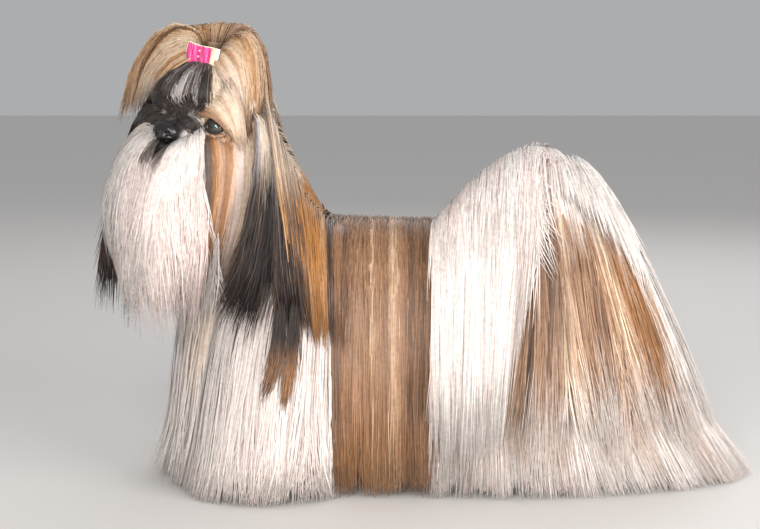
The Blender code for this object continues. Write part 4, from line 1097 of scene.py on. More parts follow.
def material(name, roughness, colour=(0.8, 0.8, 0.8)):
    made = bpy.data.materials.new(name)
    made.use_nodes = True
    shader = made.node_tree.nodes["Principled BSDF"]
    shader.inputs["Base Color"].default_value = (*colour, 1)
    shader.inputs["Roughness"].default_value = roughness
    return made, made.node_tree, shader


def node(tree, kind, **settings):
    made = tree.nodes.new(kind)
    for key, value in settings.items():
        setattr(made, key, value)
    return made


def fine_grain(tree, scale, low, high):
    """A factor that varies from low to high over the piece in fine grain."""
    place = node(tree, "ShaderNodeTexCoord")
    noise = node(tree, "ShaderNodeTexNoise")
    noise.inputs["Scale"].default_value = scale
    noise.inputs["Detail"].default_value = 3
    tree.links.new(place.outputs["Object"], noise.inputs["Vector"])
    spread = node(tree, "ShaderNodeMapRange")
    spread.inputs["From Min"].default_value = 0.3
    spread.inputs["From Max"].default_value = 0.7
    spread.inputs["To Min"].default_value = low
    spread.inputs["To Max"].default_value = high
    tree.links.new(noise.outputs["Fac"], spread.inputs["Value"])
    return noise, spread.outputs["Result"]


def times(tree, colour, factor):
    """The colour made lighter or darker by the factor."""
    scale = node(tree, "ShaderNodeVectorMath", operation="SCALE")
    tree.links.new(colour, scale.inputs[0])
    tree.links.new(factor, scale.inputs["Scale"])
    return scale.outputs["Vector"]


def hair_material(name, roughness):
    made, tree, shader = material(name, roughness)
    tint = node(tree, "ShaderNodeAttribute", attribute_name="tint")
    _, grain = fine_grain(tree, 260, 0.86, 1.12)
    tree.links.new(times(tree, tint.outputs["Color"], grain), shader.inputs["Base Color"])
    dark = name == "dark_hair"
    shader.inputs["Specular IOR Level"].default_value = 0.16 if dark else 0.38
    shader.inputs["Sheen Weight"].default_value = 0.03 if dark else 0.12
    shader.inputs["Sheen Roughness"].default_value = 0.4
    return made


def skin_material():
    made, tree, shader = material("skin_and_undercoat", 0.7)
    tint = node(tree, "ShaderNodeAttribute", attribute_name="tint")
    noise, grain = fine_grain(tree, 420, 0.75, 1.1)
    tree.links.new(times(tree, tint.outputs["Color"], grain), shader.inputs["Base Color"])
    bump = node(tree, "ShaderNodeBump")
    bump.inputs["Strength"].default_value = 0.4
    bump.inputs["Distance"].default_value = 0.0006
    tree.links.new(noise.outputs["Fac"], bump.inputs["Height"])
    tree.links.new(bump.outputs["Normal"], shader.inputs["Normal"])
    return made


# The skin


def loft(rings):
    """A closed body through rings that have as many points each."""
    count = len(rings[0])
    faces = [tuple(range(count))[::-1]]
    for row in range(len(rings) - 1):
        for i in range(count):
            j = (i + 1) % count
            faces.append((row * count + i, row * count + j, (row + 1) * count + j, (row + 1) * count + i))
    faces.append(tuple(range((len(rings) - 1) * count, len(rings) * count)))
    return [p for ring in rings for p in ring], faces


def ellipse(centre, first, second, sides=24, power=1.0):
    ring = []
    for i in range(sides):
        turn = 2 * math.pi * i / sides
        c, s = math.cos(turn), math.sin(turn)
        c, s = math.copysign(abs(c) ** power, c), math.copysign(abs(s) ** power, s)
        ring.append(np.array(centre) + np.array(first) * c + np.array(second) * s)
    return ring


def tube(stations, sides=20):
    centres = [vec(*station[:3]) for station in stations]
    rings = []
    for i, station in enumerate(stations):
        ahead = unit(centres[min(i + 1, len(centres) - 1)] - centres[max(i - 1, 0)])
        first = unit(vec(0, 1, 0) - ahead * ahead[1])
        rings.append(ellipse(centres[i], first * station[3], np.cross(ahead, first) * station[3], sides))
    return loft(rings)


def sheet(fall, across, down, counts, thick):
    """The flat middle of a coat, under the face by the coat's depth."""
    columns, rows = counts
    s = np.linspace(*across, columns + 1)[:, None] + np.zeros(rows + 1)[None, :]
    t = np.linspace(*down, rows + 1)[None, :] + np.zeros(columns + 1)[:, None]
    point, out = fall.frame(s, t)
    top = CORE_DEPTH * fall.bulk
    layers = [point - out * top, point - out * (top + thick)]
    points = [p for layer in layers for p in layer.reshape(-1, 3)]
    per = (columns + 1) * (rows + 1)

    def at(k, i, j):
        return k * per + i * (rows + 1) + j

    faces = []
    for i in range(columns):
        for j in range(rows):
            faces.append((at(0, i, j), at(0, i + 1, j), at(0, i + 1, j + 1), at(0, i, j + 1)))
            faces.append((at(1, i, j), at(1, i, j + 1), at(1, i + 1, j + 1), at(1, i + 1, j)))
        for j in (0, rows):
            faces.append((at(0, i, j), at(0, i + 1, j), at(1, i + 1, j), at(1, i, j)))
    for j in range(rows):
        for i in (0, columns):
            faces.append((at(0, i, j), at(0, i, j + 1), at(1, i, j + 1), at(1, i, j)))
    return points, faces


def ball(place, radii):
    """An ellipsoid on the head's own axes."""
    bpy.ops.mesh.primitive_uv_sphere_add(segments=32, ring_count=20, radius=1)
    thing = bpy.context.object
    thing.data.transform(on_head_matrix(on_head(*place)) @ Matrix.Diagonal((*radii, 1)))
    return thing


def body(points, faces):
    mesh = bpy.data.meshes.new("body")
    mesh.from_pydata([tuple(p) for p in points], [], faces)
    shape = bmesh.new()
    shape.from_mesh(mesh)
    bmesh.ops.recalc_face_normals(shape, faces=shape.faces)
    shape.to_mesh(mesh)
    shape.free()
    return linked("body", mesh)


def fused(name, things, voxel, rounds):
    """One even skin round all the things."""
    select(*things)
    bpy.ops.object.join()
    skin = bpy.context.object
    skin.name = name
    remesh = skin.modifiers.new("even", "REMESH")
    remesh.mode = "VOXEL"
    remesh.voxel_size = voxel
    bpy.ops.object.modifier_apply(modifier="even")
    soften = skin.modifiers.new("soften", "SMOOTH")
    soften.factor = 0.5
    soften.iterations = rounds
    bpy.ops.object.modifier_apply(modifier="soften")
    return skin


def coordinates(mesh):
    points = np.zeros(len(mesh.vertices) * 3, np.float32)
    mesh.vertices.foreach_get("co", points)
    return points.reshape(-1, 3).astype(float)


def body_skin(falls):
    things = []
    rings = [ellipse((x, 0, z), (0, w, 0), (0, 0, h), 32, 0.9) for x, z, h, w in TRUNK]
    things.append(body(*loft(rings)))
    things.append(body(*tube(TAIL_LINE)))
    things.append(body(*tube(NECK_LINE)))
    for side in (-1, 1):
        for rows in (FORELEG, HINDLEG):
            rings = [ellipse((x, side * y, z), (a, 0, 0), (0, b, 0)) for x, y, z, a, b in rows]
            things.append(body(*loft(rings)))
        for rows in PAWS:
            for aside, back in TOES:
                bpy.ops.mesh.primitive_uv_sphere_add(
                    segments=20, ring_count=12, radius=0.0078,
                    location=(rows[0] - 0.020 - back, side * rows[1] + aside, 0.0086),
                )
                things.append(bpy.context.object)
    for fall, across, down, thick in falls:
        things.append(body(*sheet(fall, across, down, (14, 14), thick)))
    return fused("skin", things, 0.0034, 5)


def mouth_place(turn):
    return on_head(
        0.026 * math.sin(turn), -0.0335 - 0.004 * math.cos(2 * turn), 0.042 + 0.026 * math.cos(turn))


def eye_frame(side):
    """The eye's centre, and the ways aside, up and ahead of its gaze."""
    gaze = math.radians(side * 14)
    ahead = LEFT * math.sin(gaze) + FORWARD * math.cos(gaze)
    aside = LEFT * math.cos(gaze) - FORWARD * math.sin(gaze)
    return eye_centre(side), np.array(aside), np.array(UP), np.array(ahead)


def head_skin():
    things = [ball((0, 0, 0), SKULL_RADII)]
    for side in (-1, 1):
        things.append(ball((side * 0.036, -0.016, 0.016), (0.020, 0.024, 0.026)))
        things.append(ball((side * 0.024, 0.020, 0.032), (0.020, 0.014, 0.018)))
        things.append(ball((side * 0.013, -0.024, 0.052), (0.015, 0.014, 0.014)))
        things.append(ball((side * 0.010, 0.000, 0.050), (0.010, 0.008, 0.010)))
        things.append(ball((side * EYE_PLACE[0], EYE_PLACE[1], EYE_PLACE[2]), (EYE_RADIUS + 0.0014,) * 3))
    things.append(ball((0, -0.012, 0.052), (0.018, 0.012, 0.016)))
    things.append(ball((0, -0.037, 0.046), (0.015, 0.010, 0.014)))
    stem = [(*on_head(BAND_PLACE[0], BAND_PLACE[1] + up, BAND_PLACE[2]), wide) for up, wide in (
        (-0.030, 0.016), (-0.018, 0.010), (-0.006, 0.0062), (0.006, 0.0062), (0.014, 0.010))]
    things.append(body(*tube(stem)))
    skin = fused("head_skin", things, 0.0015, 3)
    points = coordinates(skin.data)
    normals = np.zeros(len(points) * 3, np.float32)
    skin.data.vertices.foreach_get("normal", normals)
    normals = normals.reshape(-1, 3)
    line = np.array([mouth_place(math.radians(a)) for a in np.linspace(-66, 66, 60)])
    away = np.min(np.linalg.norm(points[:, None] - line[None], axis=2), axis=1)
    points -= normals * (0.0045 * np.exp(-((away / 0.0017) ** 2)))[:, None]
    local = from_head(points)
    x, y, z = local.T
    groove = np.exp(-((x / 0.0012) ** 2)) * smooth(-0.016, -0.019, y) * smooth(-0.034, -0.030, y)
    points -= normals * (0.0016 * groove * (z > 0.05))[:, None]
    fold = np.sin((y + 0.4 * np.abs(x)) * 1300) * np.exp(-(((y - 0.004) / 0.007) ** 2))
    points += normals * (0.0007 * fold * np.exp(-((x / 0.016) ** 2)) * (z > 0.04))[:, None]
    for side in (-1, 1):
        centre, aside, up, ahead = eye_frame(side)
        near = points - centre
        a, u, f = near @ aside, near @ up, near @ ahead
        inside = (a / LID_HALF_WIDTH) ** 2 + (u / LID_HALF_HEIGHT) ** 2
        push = smooth(1.25, 0.85, inside) * (f > 0) * (np.linalg.norm(near, axis=1) < 0.019)
        points -= ahead[None, :] * (push * (f + 0.002))[:, None]
    put_points(skin.data, points)
    skin.data.update()
    return skin


def lid_rim(side):
    """The bare dark edges of the upper and lower lid."""
    centre, aside, up, ahead = eye_frame(side)
    ring = []
    for i in range(48):
        turn = 2 * math.pi * i / 48
        a, u = LID_HALF_WIDTH * math.cos(turn), LID_HALF_HEIGHT * math.sin(turn)
        f = math.sqrt(EYE_RADIUS**2 - u * u - (a * 0.82) ** 2)
        ring.append(centre + aside * a + up * u + ahead * (f + 0.0002))
    rings = []
    for i, point in enumerate(ring):
        along = unit(ring[(i + 1) % 48] - ring[i - 1])
        first = unit(point - centre)
        first = unit(first - along * np.dot(first, along))
        rings.append(ellipse(point, first * 0.0012, np.cross(along, first) * 0.0012, 8))
    points = [p for one in rings for p in one]
    faces = []
    for row in range(48):
        for i in range(8):
            j, after = (i + 1) % 8, (row + 1) % 48
            faces.append((row * 8 + i, row * 8 + j, after * 8 + j, after * 8 + i))
    return body(points, faces)


def unwrapped(skin):
    """Where a point's nearest place on the skin lies in the skin's own unwrap."""
    select(skin)
    skin.data.uv_layers.new(name="OFBake")
    bpy.ops.object.mode_set(mode="EDIT")
    bpy.ops.mesh.select_all(action="SELECT")
    bpy.ops.uv.smart_project(angle_limit=math.radians(66), island_margin=0.002)
    bpy.ops.object.mode_set(mode="OBJECT")
    mesh = skin.data
    spread = np.zeros(len(mesh.loops) * 2, np.float32)
    mesh.uv_layers["OFBake"].data.foreach_get("uv", spread)
    spread = spread.reshape(-1, 2)
    middles = np.array([
        spread[face.loop_start:face.loop_start + face.loop_total].mean(0) for face in mesh.polygons
    ])
    tree = BVHTree.FromPolygons([v.co for v in mesh.vertices], [tuple(f.vertices) for f in mesh.polygons])

    def place(points):
        return np.array([middles[tree.find_nearest(Vector(p))[2]] for p in points])

    return place


# Eyes, nose, claws


def eye(side, glass):
    centre, _, _, ahead = eye_frame(side)
    bpy.ops.mesh.primitive_uv_sphere_add(segments=64, ring_count=40, radius=EYE_RADIUS)
    ball_of_eye = bpy.context.object
    ball_of_eye.name = "eyeball_left" if side > 0 else "eyeball_right"
    turn = Vector(ahead).to_track_quat("Z", "Y").to_matrix().to_4x4()
    mesh = ball_of_eye.data
    points = coordinates(mesh)
    off = np.hypot(points[:, 0], points[:, 1])
    bulge = np.where(points[:, 2] > 0, 0.0009 * np.exp(-((off / 0.0058) ** 2)), 0)
    points[:, 2] += bulge
    put_points(mesh, points)
    ring = mesh.attributes.new("off_axis", "FLOAT", "POINT")
    ring.data.foreach_set("value", np.where(points[:, 2] > 0, off / EYE_RADIUS, 1).astype(np.float32))
    mesh.transform(Matrix.Translation(Vector(centre + SHIFT)) @ turn)
    rounded(ball_of_eye)
    mesh.materials.append(glass)
    return dress(ball_of_eye, "eye", "eye_left" if side > 0 else "eye_right")


def eye_material():
    made, tree, shader = material("wet_eye", 0.04)
    ring = node(tree, "ShaderNodeAttribute", attribute_name="off_axis")
    colours = node(tree, "ShaderNodeValToRGB")
    stops = colours.color_ramp.elements
    # The greenish middle of the pupil is a painted reflection, the flash shining back from inside the eye.
    stops[0].position, stops[0].color = 0.0, (0.020, 0.060, 0.040, 1)
    stops[1].position, stops[1].color = 0.34, (0.010, 0.030, 0.020, 1)
    for place, colour in (
        (0.38, (0.035, 0.020, 0.010, 1)), (0.62, (0.060, 0.030, 0.014, 1)), (0.72, (0.012, 0.008, 0.006, 1)),
        (0.80, (0.42, 0.36, 0.32, 1)), (1.0, (0.5, 0.36, 0.32, 1)),
    ):
        stop = stops.new(place)
        stop.color = colour
    tree.links.new(ring.outputs["Fac"], colours.inputs["Fac"])
    _, grain = fine_grain(tree, 900, 0.7, 1.2)
    tree.links.new(times(tree, colours.outputs["Color"], grain), shader.inputs["Base Color"])
    shader.inputs["Coat Weight"].default_value = 1.0
    shader.inputs["Coat Roughness"].default_value = 0.02
    return made


def nose(leather):
    bpy.ops.mesh.primitive_uv_sphere_add(segments=96, ring_count=64, radius=1)
    thing = bpy.context.object
    thing.name = "nose_leather"
    points = coordinates(thing.data) * np.array(NOSE_RADII)
    x, y, z = points.T
    wide = 1 - 0.20 * smooth(0.001, -0.008, y)
    x *= wide
    z += 0.0012 * np.exp(-((np.abs(x) - 0.0075) / 0.0035) ** 2) * (z > 0)
    for side in (-1, 1):
        dx, dy = x - side * 0.0060, y + 0.0012 - 0.25 * (side * x - 0.006)
        z -= 0.0050 * np.exp(-((dx / 0.0024) ** 2 + (dy / 0.0021) ** 2)) * (z > 0)
        slit = np.exp(-(((side * x - 0.0098) / 0.0022) ** 2 + ((y + 0.0035) / 0.0010) ** 2))
        z -= 0.0020 * slit * (z > 0)
    z -= 0.0010 * np.exp(-((x / 0.0007) ** 2)) * smooth(0.003, -0.001, y) * (z > 0)
    points = np.stack([x, y, z], 1)
    put_points(thing.data, points)
    thing.data.transform(on_head_matrix(Vector(on_head(*NOSE_PLACE) + SHIFT)))
    rounded(thing)
    thing.data.materials.append(leather)
    return dress(thing, "nose_leather", "nose")


def nose_material():
    made, tree, shader = material("moist_nose_leather", 0.26, (0.009, 0.008, 0.009))
    place = node(tree, "ShaderNodeTexCoord")
    cells = node(tree, "ShaderNodeTexVoronoi", feature="DISTANCE_TO_EDGE")
    cells.inputs["Scale"].default_value = 1100
    tree.links.new(place.outputs["Object"], cells.inputs["Vector"])
    bump = node(tree, "ShaderNodeBump")
    bump.inputs["Strength"].default_value = 0.3
    bump.inputs["Distance"].default_value = 0.0002
    tree.links.new(cells.outputs["Distance"], bump.inputs["Height"])
    tree.links.new(bump.outputs["Normal"], shader.inputs["Normal"])
    shader.inputs["Coat Weight"].default_value = 0.3
    shader.inputs["Coat Roughness"].default_value = 0.25
    return made


def horn_material():
    made, tree, shader = material("claw_horn", 0.35, CLAW_COLOUR)
    _, grain = fine_grain(tree, 500, 0.6, 1.3)
    plain = node(tree, "ShaderNodeRGB")
    plain.outputs[0].default_value = (*CLAW_COLOUR, 1)
    tree.links.new(times(tree, plain.outputs[0], grain), shader.inputs["Base Color"])
    return made


def claws(horn):
    points, faces = [], []
    for side in (-1, 1):
        for x, y in PAWS:
            for aside, back in TOES:
                rings = []
                for k in range(7):
                    share = k / 6
                    centre = vec(
                        x - 0.0265 - back - 0.007 * share, side * y + aside, 0.0090 - 0.0068 * share**1.6)
                    wide = 0.0019 * (1 - share) ** 0.7 + 0.0002
                    rings.append(ellipse(centre, (0, wide * 0.8, 0), (wide * 0.5, 0, wide), 8))
                some, sides = loft(rings)
                faces += [tuple(i + len(points) for i in face) for face in sides]
                points += some
    thing = body([p + SHIFT for p in points], faces)
    thing.name = "claws"
    rounded(thing)
    thing.data.materials.append(horn)
    return dress(thing, "nose_leather")


# The bow and the band


def on_bow(x, up, out):
    x, up, out = x * BOW_SCALE[0], up * BOW_SCALE[1], out * BOW_SCALE[2]
    x, up = x + BOW_TURN * up, up - BOW_TURN * x
    return on_head(BOW_PLACE[0] + x, BOW_PLACE[1] + up, BOW_PLACE[2] + out) + SHIFT


def ribbon_panel(name, profile, half, thick, satin):
    """A strip of ribbon: its profile runs across the bow as x, out and how much of half it is wide."""
    rows = 10
    points, faces = [], []
    for x, out, share in profile:
        for j in range(rows + 1):
            up = lerp(-half, half, j / rows)
            points.append(on_bow(x, up * share, out))
    for i in range(len(profile) - 1):
        for j in range(rows):
            faces.append((i * (rows + 1) + j, (i + 1) * (rows + 1) + j,
                          (i + 1) * (rows + 1) + j + 1, i * (rows + 1) + j + 1))
    mesh = bpy.data.meshes.new(name)
    mesh.from_pydata([tuple(p) for p in points], [], faces)
    thing = linked(name, mesh)
    layer = mesh.uv_layers.new(name="weave")
    for face in mesh.polygons:
        for k in face.loop_indices:
            corner = mesh.loops[k].vertex_index
            layer.data[k].uv = (corner // (rows + 1) / (len(profile) - 1), (corner % (rows + 1)) / rows)
    select(thing)
    wall = thing.modifiers.new("thickness", "SOLIDIFY")
    wall.thickness = thick
    wall.offset = 0
    bpy.ops.object.modifier_apply(modifier="thickness")
    round_off = thing.modifiers.new("round", "SUBSURF")
    round_off.levels = round_off.render_levels = 1
    bpy.ops.object.modifier_apply(modifier="round")
    thing.data.materials.append(satin)
    return thing


def bow(pink, pale, pearl):
    loops = []
    for k in range(33):
        x = lerp(-0.0150, 0.0085, k / 32)
        share = abs(x + 0.0030) / 0.0118
        out = 0.0016 + 0.0042 * math.sin(math.pi * min(share * 0.92, 1)) ** 0.8 + 0.0007 * math.cos(x * 2600)
        loops.append((x, out, lerp(0.90, 1.0, min(share, 1))))
    front = ribbon_panel("bow_front", loops, 0.0100, 0.0006, pink)
    behind = [(x, -0.0030 - 0.5 * out, share) for x, out, share in loops]
    back = ribbon_panel("bow_back", behind, 0.0096, 0.0006, pink)
    trims = []
    for sign in (-1, 1):
        edge = [(x, out + 0.0004, share) for x, out, share in loops]
        trims.append(edge_cord(edge, sign * 0.0101, 0.00055))
    trims.append(side_cord(loops[0], 0.0100, 0.0006))
    strip = []
    for k in range(13):
        share = k / 12
        out = 0.0050 - 0.0010 * share + 0.0012 * math.sin(math.pi * share)
        strip.append((lerp(0.0088, 0.0160, share), out, 1.06))
    tail = ribbon_panel("bow_tail", strip, 0.0102, 0.0007, pale)
    joined("bow_trim", [tail] + trims, pale)
    pieces = [joined("bow_loops", [front, back], pink), bpy.data.objects["bow_trim"]]
    beads = []
    for up in (-0.0048, 0.0, 0.0048):
        bpy.ops.mesh.primitive_uv_sphere_add(segments=20, ring_count=14, radius=0.00115)
        bead = bpy.context.object
        bead.data.transform(Matrix.Translation(Vector(on_bow(-0.0030, up, 0.0036))))
        beads.append(bead)
    pieces.append(joined("bow_pearls", beads, pearl))
    for piece in pieces:
        rounded(piece)
        dress(piece, "bow_satin", "bow")


def edge_cord(line, up, radius):
    rings = []
    for x, out, share in line:
        centre = on_bow(x, up * share, out)
        rings.append(ellipse(centre, np.array(UP) * radius, np.array(FORWARD) * radius, 8))
    return body(*loft(rings))


def side_cord(end, half, radius):
    rings = []
    for k in range(9):
        centre = on_bow(end[0], lerp(-half, half, k / 8), end[1] + 0.0003)
        rings.append(ellipse(centre, np.array(LEFT) * radius, np.array(FORWARD) * radius, 8))
    return body(*loft(rings))


def joined(name, things, finish):
    select(*things)
    bpy.ops.object.join()
    thing = bpy.context.object
    thing.name = name
    thing.data.materials.clear()
    thing.data.materials.append(finish)
    return thing


def satin_material(name, colour, streak, roughness):
    made, tree, shader = material(name, roughness, colour)
    # The lighter second colour, laid on in wave bands, is a painted highlight: the sheen along the folds.
    place = node(tree, "ShaderNodeTexCoord")
    highlight_bands = node(tree, "ShaderNodeTexWave", bands_direction="X")
    highlight_bands.inputs["Scale"].default_value = 55
    highlight_bands.inputs["Distortion"].default_value = 2.0
    tree.links.new(place.outputs["Object"], highlight_bands.inputs["Vector"])
    colours = node(tree, "ShaderNodeMix", data_type="RGBA")
    colours.inputs["A"].default_value = (*colour, 1)
    colours.inputs["B"].default_value = (*streak, 1)
    tree.links.new(highlight_bands.outputs["Fac"], colours.inputs["Factor"])
    tree.links.new(colours.outputs["Result"], shader.inputs["Base Color"])
    shader.inputs["Sheen Weight"].default_value = 0.3
    return made


def band(elastic):
    bpy.ops.mesh.primitive_torus_add(
        major_radius=BAND_RADIUS, minor_radius=0.0019, major_segments=72, minor_segments=16)
    thing = bpy.context.object
    thing.name = "hair_band"
    points = coordinates(thing.data)
    around = np.arctan2(points[:, 1], points[:, 0])
    ribs = 1 + 0.03 * np.sin(around * 36)
    points[:, :2] *= ribs[:, None]
    put_points(thing.data, points)
    turn = Vector(UP).to_track_quat("Z", "Y").to_matrix().to_4x4()
    thing.data.transform(Matrix.Translation(Vector(on_head(*BAND_PLACE) + SHIFT)) @ turn)
    rounded(thing)
    thing.data.materials.append(elastic)
    return dress(thing, "band_elastic", "topknot_band")


# Floor, light and camera


def area_light(name, place, target, size, power, colour):
    lamp = bpy.data.lights.new(name, "AREA")
    lamp.shape = "RECTANGLE"
    lamp.size, lamp.size_y = size
    lamp.energy = power
    lamp.color = colour
    holder = bpy.data.objects.new(name, lamp)
    bpy.context.scene.collection.objects.link(holder)
    holder.location = place
    holder.rotation_euler = (Vector(target) - Vector(place)).to_track_quat("-Z", "Y").to_euler()


def studio():
    bpy.ops.mesh.primitive_plane_add(size=14, location=(0, 3, 0))
    floor = bpy.context.object
    floor.name = "floor"
    floor.data.materials.append(material("pale_floor", 0.6, (0.78, 0.76, 0.74))[0])
    world = bpy.data.worlds.new("studio")
    bpy.context.scene.world = world
    world.use_nodes = True
    world.node_tree.nodes["Background"].inputs["Color"].default_value = (0.92, 0.93, 0.95, 1)
    world.node_tree.nodes["Background"].inputs["Strength"].default_value = 0.45
    for lamp in LIGHTS:
        area_light(*lamp)
    bpy.context.scene.view_settings.view_transform = "Standard"
    lens = bpy.data.cameras.new("camera")
    lens.sensor_width = 36
    lens.lens = FOCAL_PIXELS / PHOTO_WIDTH_PIXELS * lens.sensor_width
    holder = bpy.data.objects.new("camera", lens)
    bpy.context.scene.collection.objects.link(holder)
    holder.location = Vector(vec(*CAMERA_PLACE) + SHIFT)
    holder.rotation_euler = (math.radians(90 - CAMERA_DIP_DEGREES), 0, 0)
    bpy.context.scene.camera = holder


# The coats and all the rest


def part_name(part, side):
    """The name of a part of the trunk or a leg; side is the sign of Y."""
    return part + ("_left" if side < 0 else "_right")


def all_falls():
    """Every fall by its part, and by its side where there are two.

    On the trunk a side is the sign of Y, so -1 is the dog's left. On the head 1 is its left.
    """
    falls = {
        "rump": rump_fall(), "chest": chest_fall(), "mane": mane_fall(), "plume_front": tail_tip_fall(),
        "plume_inner": plume_inner_fall(), "plume_back": tail_base_fall(), "beard": beard_fall(),
        "forehead": forehead_fall(), "fringe": fringe_fall(), "brow": brow_fall(), "topknot": topknot_fall(),
    }
    for side in TRUNK_SIDES:
        for part, made in (
            ("torso", torso_fall), ("hip", hip_fall), ("foreleg", foreleg_fall), ("neck", neck_fall),
            ("ear", ear_fall), ("moustache", moustache_fall), ("cheek", cheek_fall), ("fan", fan_fall),
        ):
            falls[part, side] = made(side)
    return falls


def undercoat(falls):
    """The sheets inside the coats: each one's fall, its range of s and of t, and how thick it is."""
    middle = (
        ("rump", (-0.9, 0.9), (0.1, 0.84), 0.010), ("chest", (-1.1, 1.1), (0, 0.84), 0.010),
        ("plume_front", (0, 1.1), (0, 0.5), 0.007), ("plume_back", (0, 1), (0.04, 0.7), 0.007),
        ("topknot", (0.16, 0.90), (0.12, 0.6), 0.006),
    )
    trunk = (
        ("torso", (-0.1, 1.1), (0, 0.88), 0.010), ("hip", (-0.05, 1.0), (0, 0.84), 0.010),
        ("foreleg", (-0.04, 0.52), (0.06, 0.85), 0.010), ("neck", (0, 1.05), (-0.10, 0.55), 0.010),
    )
    head = (
        ("moustache", (0.05, 1.0), (0.28, 0.80), 0.006), ("ear", (0.05, 0.95), (0.05, 0.5), 0.005),
        ("cheek", (0.1, 1.0), (0.15, 0.7), 0.006), ("fan", (0.05, 0.95), (0.14, 0.8), 0.006),
    )
    sheets = [(falls[part], *rest) for part, *rest in middle]
    for sides, parts in ((TRUNK_SIDES, trunk), (HEAD_SIDES, head)):
        sheets += [(falls[part, side], *rest) for side in sides for part, *rest in parts]
    return sheets


def trunk_coats(falls, add):
    """The coats of the trunk, the legs and the neck, a little thinner on the side away from the camera."""
    for side in TRUNK_SIDES:
        near = 1.0 if side < 0 else FAR_SIDE_SHARE
        add("coat_" + part_name("torso", side), "gold_hair", [part_name("torso", side)],
            comb(falls["torso", side], int(2200 * near), (-0.10, 1.06), (0.0, 0.55), (0.97, 1.02), (0.0, 0.009),
                 0.0014, torso_marks, 500 + side, locks=15, pull=0.35, ragged=0.03, lift=0.004, sink=0.004),
            comb(falls["torso", side], int(600 * near), (-0.10, 1.06), (-0.06, 0.0), (0.80, 1.0), (0.0, 0.002),
                 0.0013, torso_marks, 510 + side, locks=26, pull=0.3, sink=0.003))
        add("coat_" + part_name("hindleg", side), "gold_hair", [part_name("hindleg", side)],
            comb(falls["hip", side], int(1900 * near), (-0.04, 1.06), (0.0, 0.55), (0.97, 1.03), (0.0, 0.010),
                 0.0018, hip_marks, 520 + side, locks=22, pull=0.4, ragged=0.03, lift=0.004),
            comb(falls["hip", side], int(500 * near), (-0.02, 1.0), (0.0, 0.04), (0.85, 1.0), (0.0, 0.002),
                 0.0015, hip_marks, 530 + side, locks=34, pull=0.3))
        add("coat_" + part_name("foreleg", side), "white_hair", [part_name("foreleg", side)],
            comb(falls["foreleg", side], int(2000 * near), (-0.14, 0.62), (0.0, 0.55), (0.96, 1.03), (0.0, 0.009),
                 0.0015, white_marks, 540 + side, locks=18, pull=0.45, ragged=0.03, lift=0.006))
        add("coat_" + part_name("neck", side), "gold_hair", ["neck"],
            comb(falls["neck", side], int(1900 * near), (-0.10, 1.10), (0.0, 0.5), (0.84, 1.02), (0.0, 0.008),
                 0.0012, neck_marks, 550 + side, locks=17, pull=0.35, ragged=0.12, lift=0.004, lean=0.6),
            *([] if side < 0 else [comb(
                falls["mane"], 1150, (-0.10, 1.35), (0.0, 0.5), (0.86, 1.0), (0.0, 0.009), 0.0015,
                mane_marks, 555, locks=12, pull=0.4, ragged=0.10, lift=0.004, lean=0.6)]))


def rear_and_chest_coats(falls, add):
    """The coats of the chest, the rump and both halves of the plume."""
    add("coat_chest", "white_hair", ["chest"],
        comb(falls["chest"], 2500, (-1.1, 1.1), (0.0, 0.55), (0.96, 1.03), (0.0, 0.012), 0.0015,
             bib_marks, 560, locks=18, pull=0.45, ragged=0.03, lift=0.018, loose=0.2, lean=0.8))
    add("coat_rump", "cream_hair", ["rump"],
        comb(falls["rump"], 1500, (-1.1, 1.1), (0.0, 0.55), (0.97, 1.03), (0.0, 0.010), 0.0018,
             white_marks, 570, locks=12, pull=0.4, ragged=0.03, lift=0.006))
    add("coat_tail_front", "white_hair", ["tail_tip"],
        comb(falls["plume_front"], 1900, (-0.02, 1.04), (0.0, 0.5), (0.90, 1.0), (0.0, 0.008), 0.0014,
             white_marks, 580, locks=17, pull=0.40, ragged=0.06, lift=0.004, lean=0.8,
             reach=lambda s: lerp(1.0, 0.70, smooth(0.84, 0.98, s))),
        comb(falls["plume_front"], 500, (-0.06, 1.30), (0.0, 0.03), (0.30, 0.60), (0.0, 0.002), 0.0013,
             white_marks, 582, locks=26, pull=0.2, ragged=0.08, sink=0.004,
             reach=lambda s: lerp(1.0, 0.4, smooth(0.9, 1.05, s))),
        comb(falls["plume_inner"], 450, (-0.05, 1.08), (0.0, 0.4), (0.85, 1.0), (0.0, 0.004), 0.0015,
             white_marks, 583, locks=9, pull=0.3, ragged=0.10, sink=0.003),
        comb(falls["plume_front"], 240, (0.84, 1.10), (0.05, 0.35), (0.40, 0.80), (-0.001, 0.004), 0.0012,
             white_marks, 584, locks=5, pull=0.2, ragged=0.16, lift=0.005, loose=0.5, lean=1.2),
        comb(falls["plume_front"], 800, (0.96, 1.52), (0.0, 0.5), (0.75, 1.05), (0.0, 0.006), 0.0012,
             white_marks, 581, locks=16, pull=0.2, ragged=0.16, lean=0.4, tuck=0.010,
             reach=lambda s: 0.35 + 0.32 * smooth(1.2, 1.5, s)))
    add("coat_tail_back", "white_hair", ["tail_base"],
        comb(falls["plume_back"], 3400, (-0.02, 1.02), (0.0, 0.5), (0.90, 1.05), (0.0, 0.008), 0.0016,
             tail_back_marks, 590, locks=30, pull=0.35, ragged=0.06, lift=0.004, lean=0.7),
        comb(falls["plume_back"], 400, (-0.13, 0.01), (0.1, 0.5), (0.88, 1.0), (0.005, 0.011), 0.0015,
             tail_back_marks, 591, locks=4, pull=0.2, ragged=0.06))


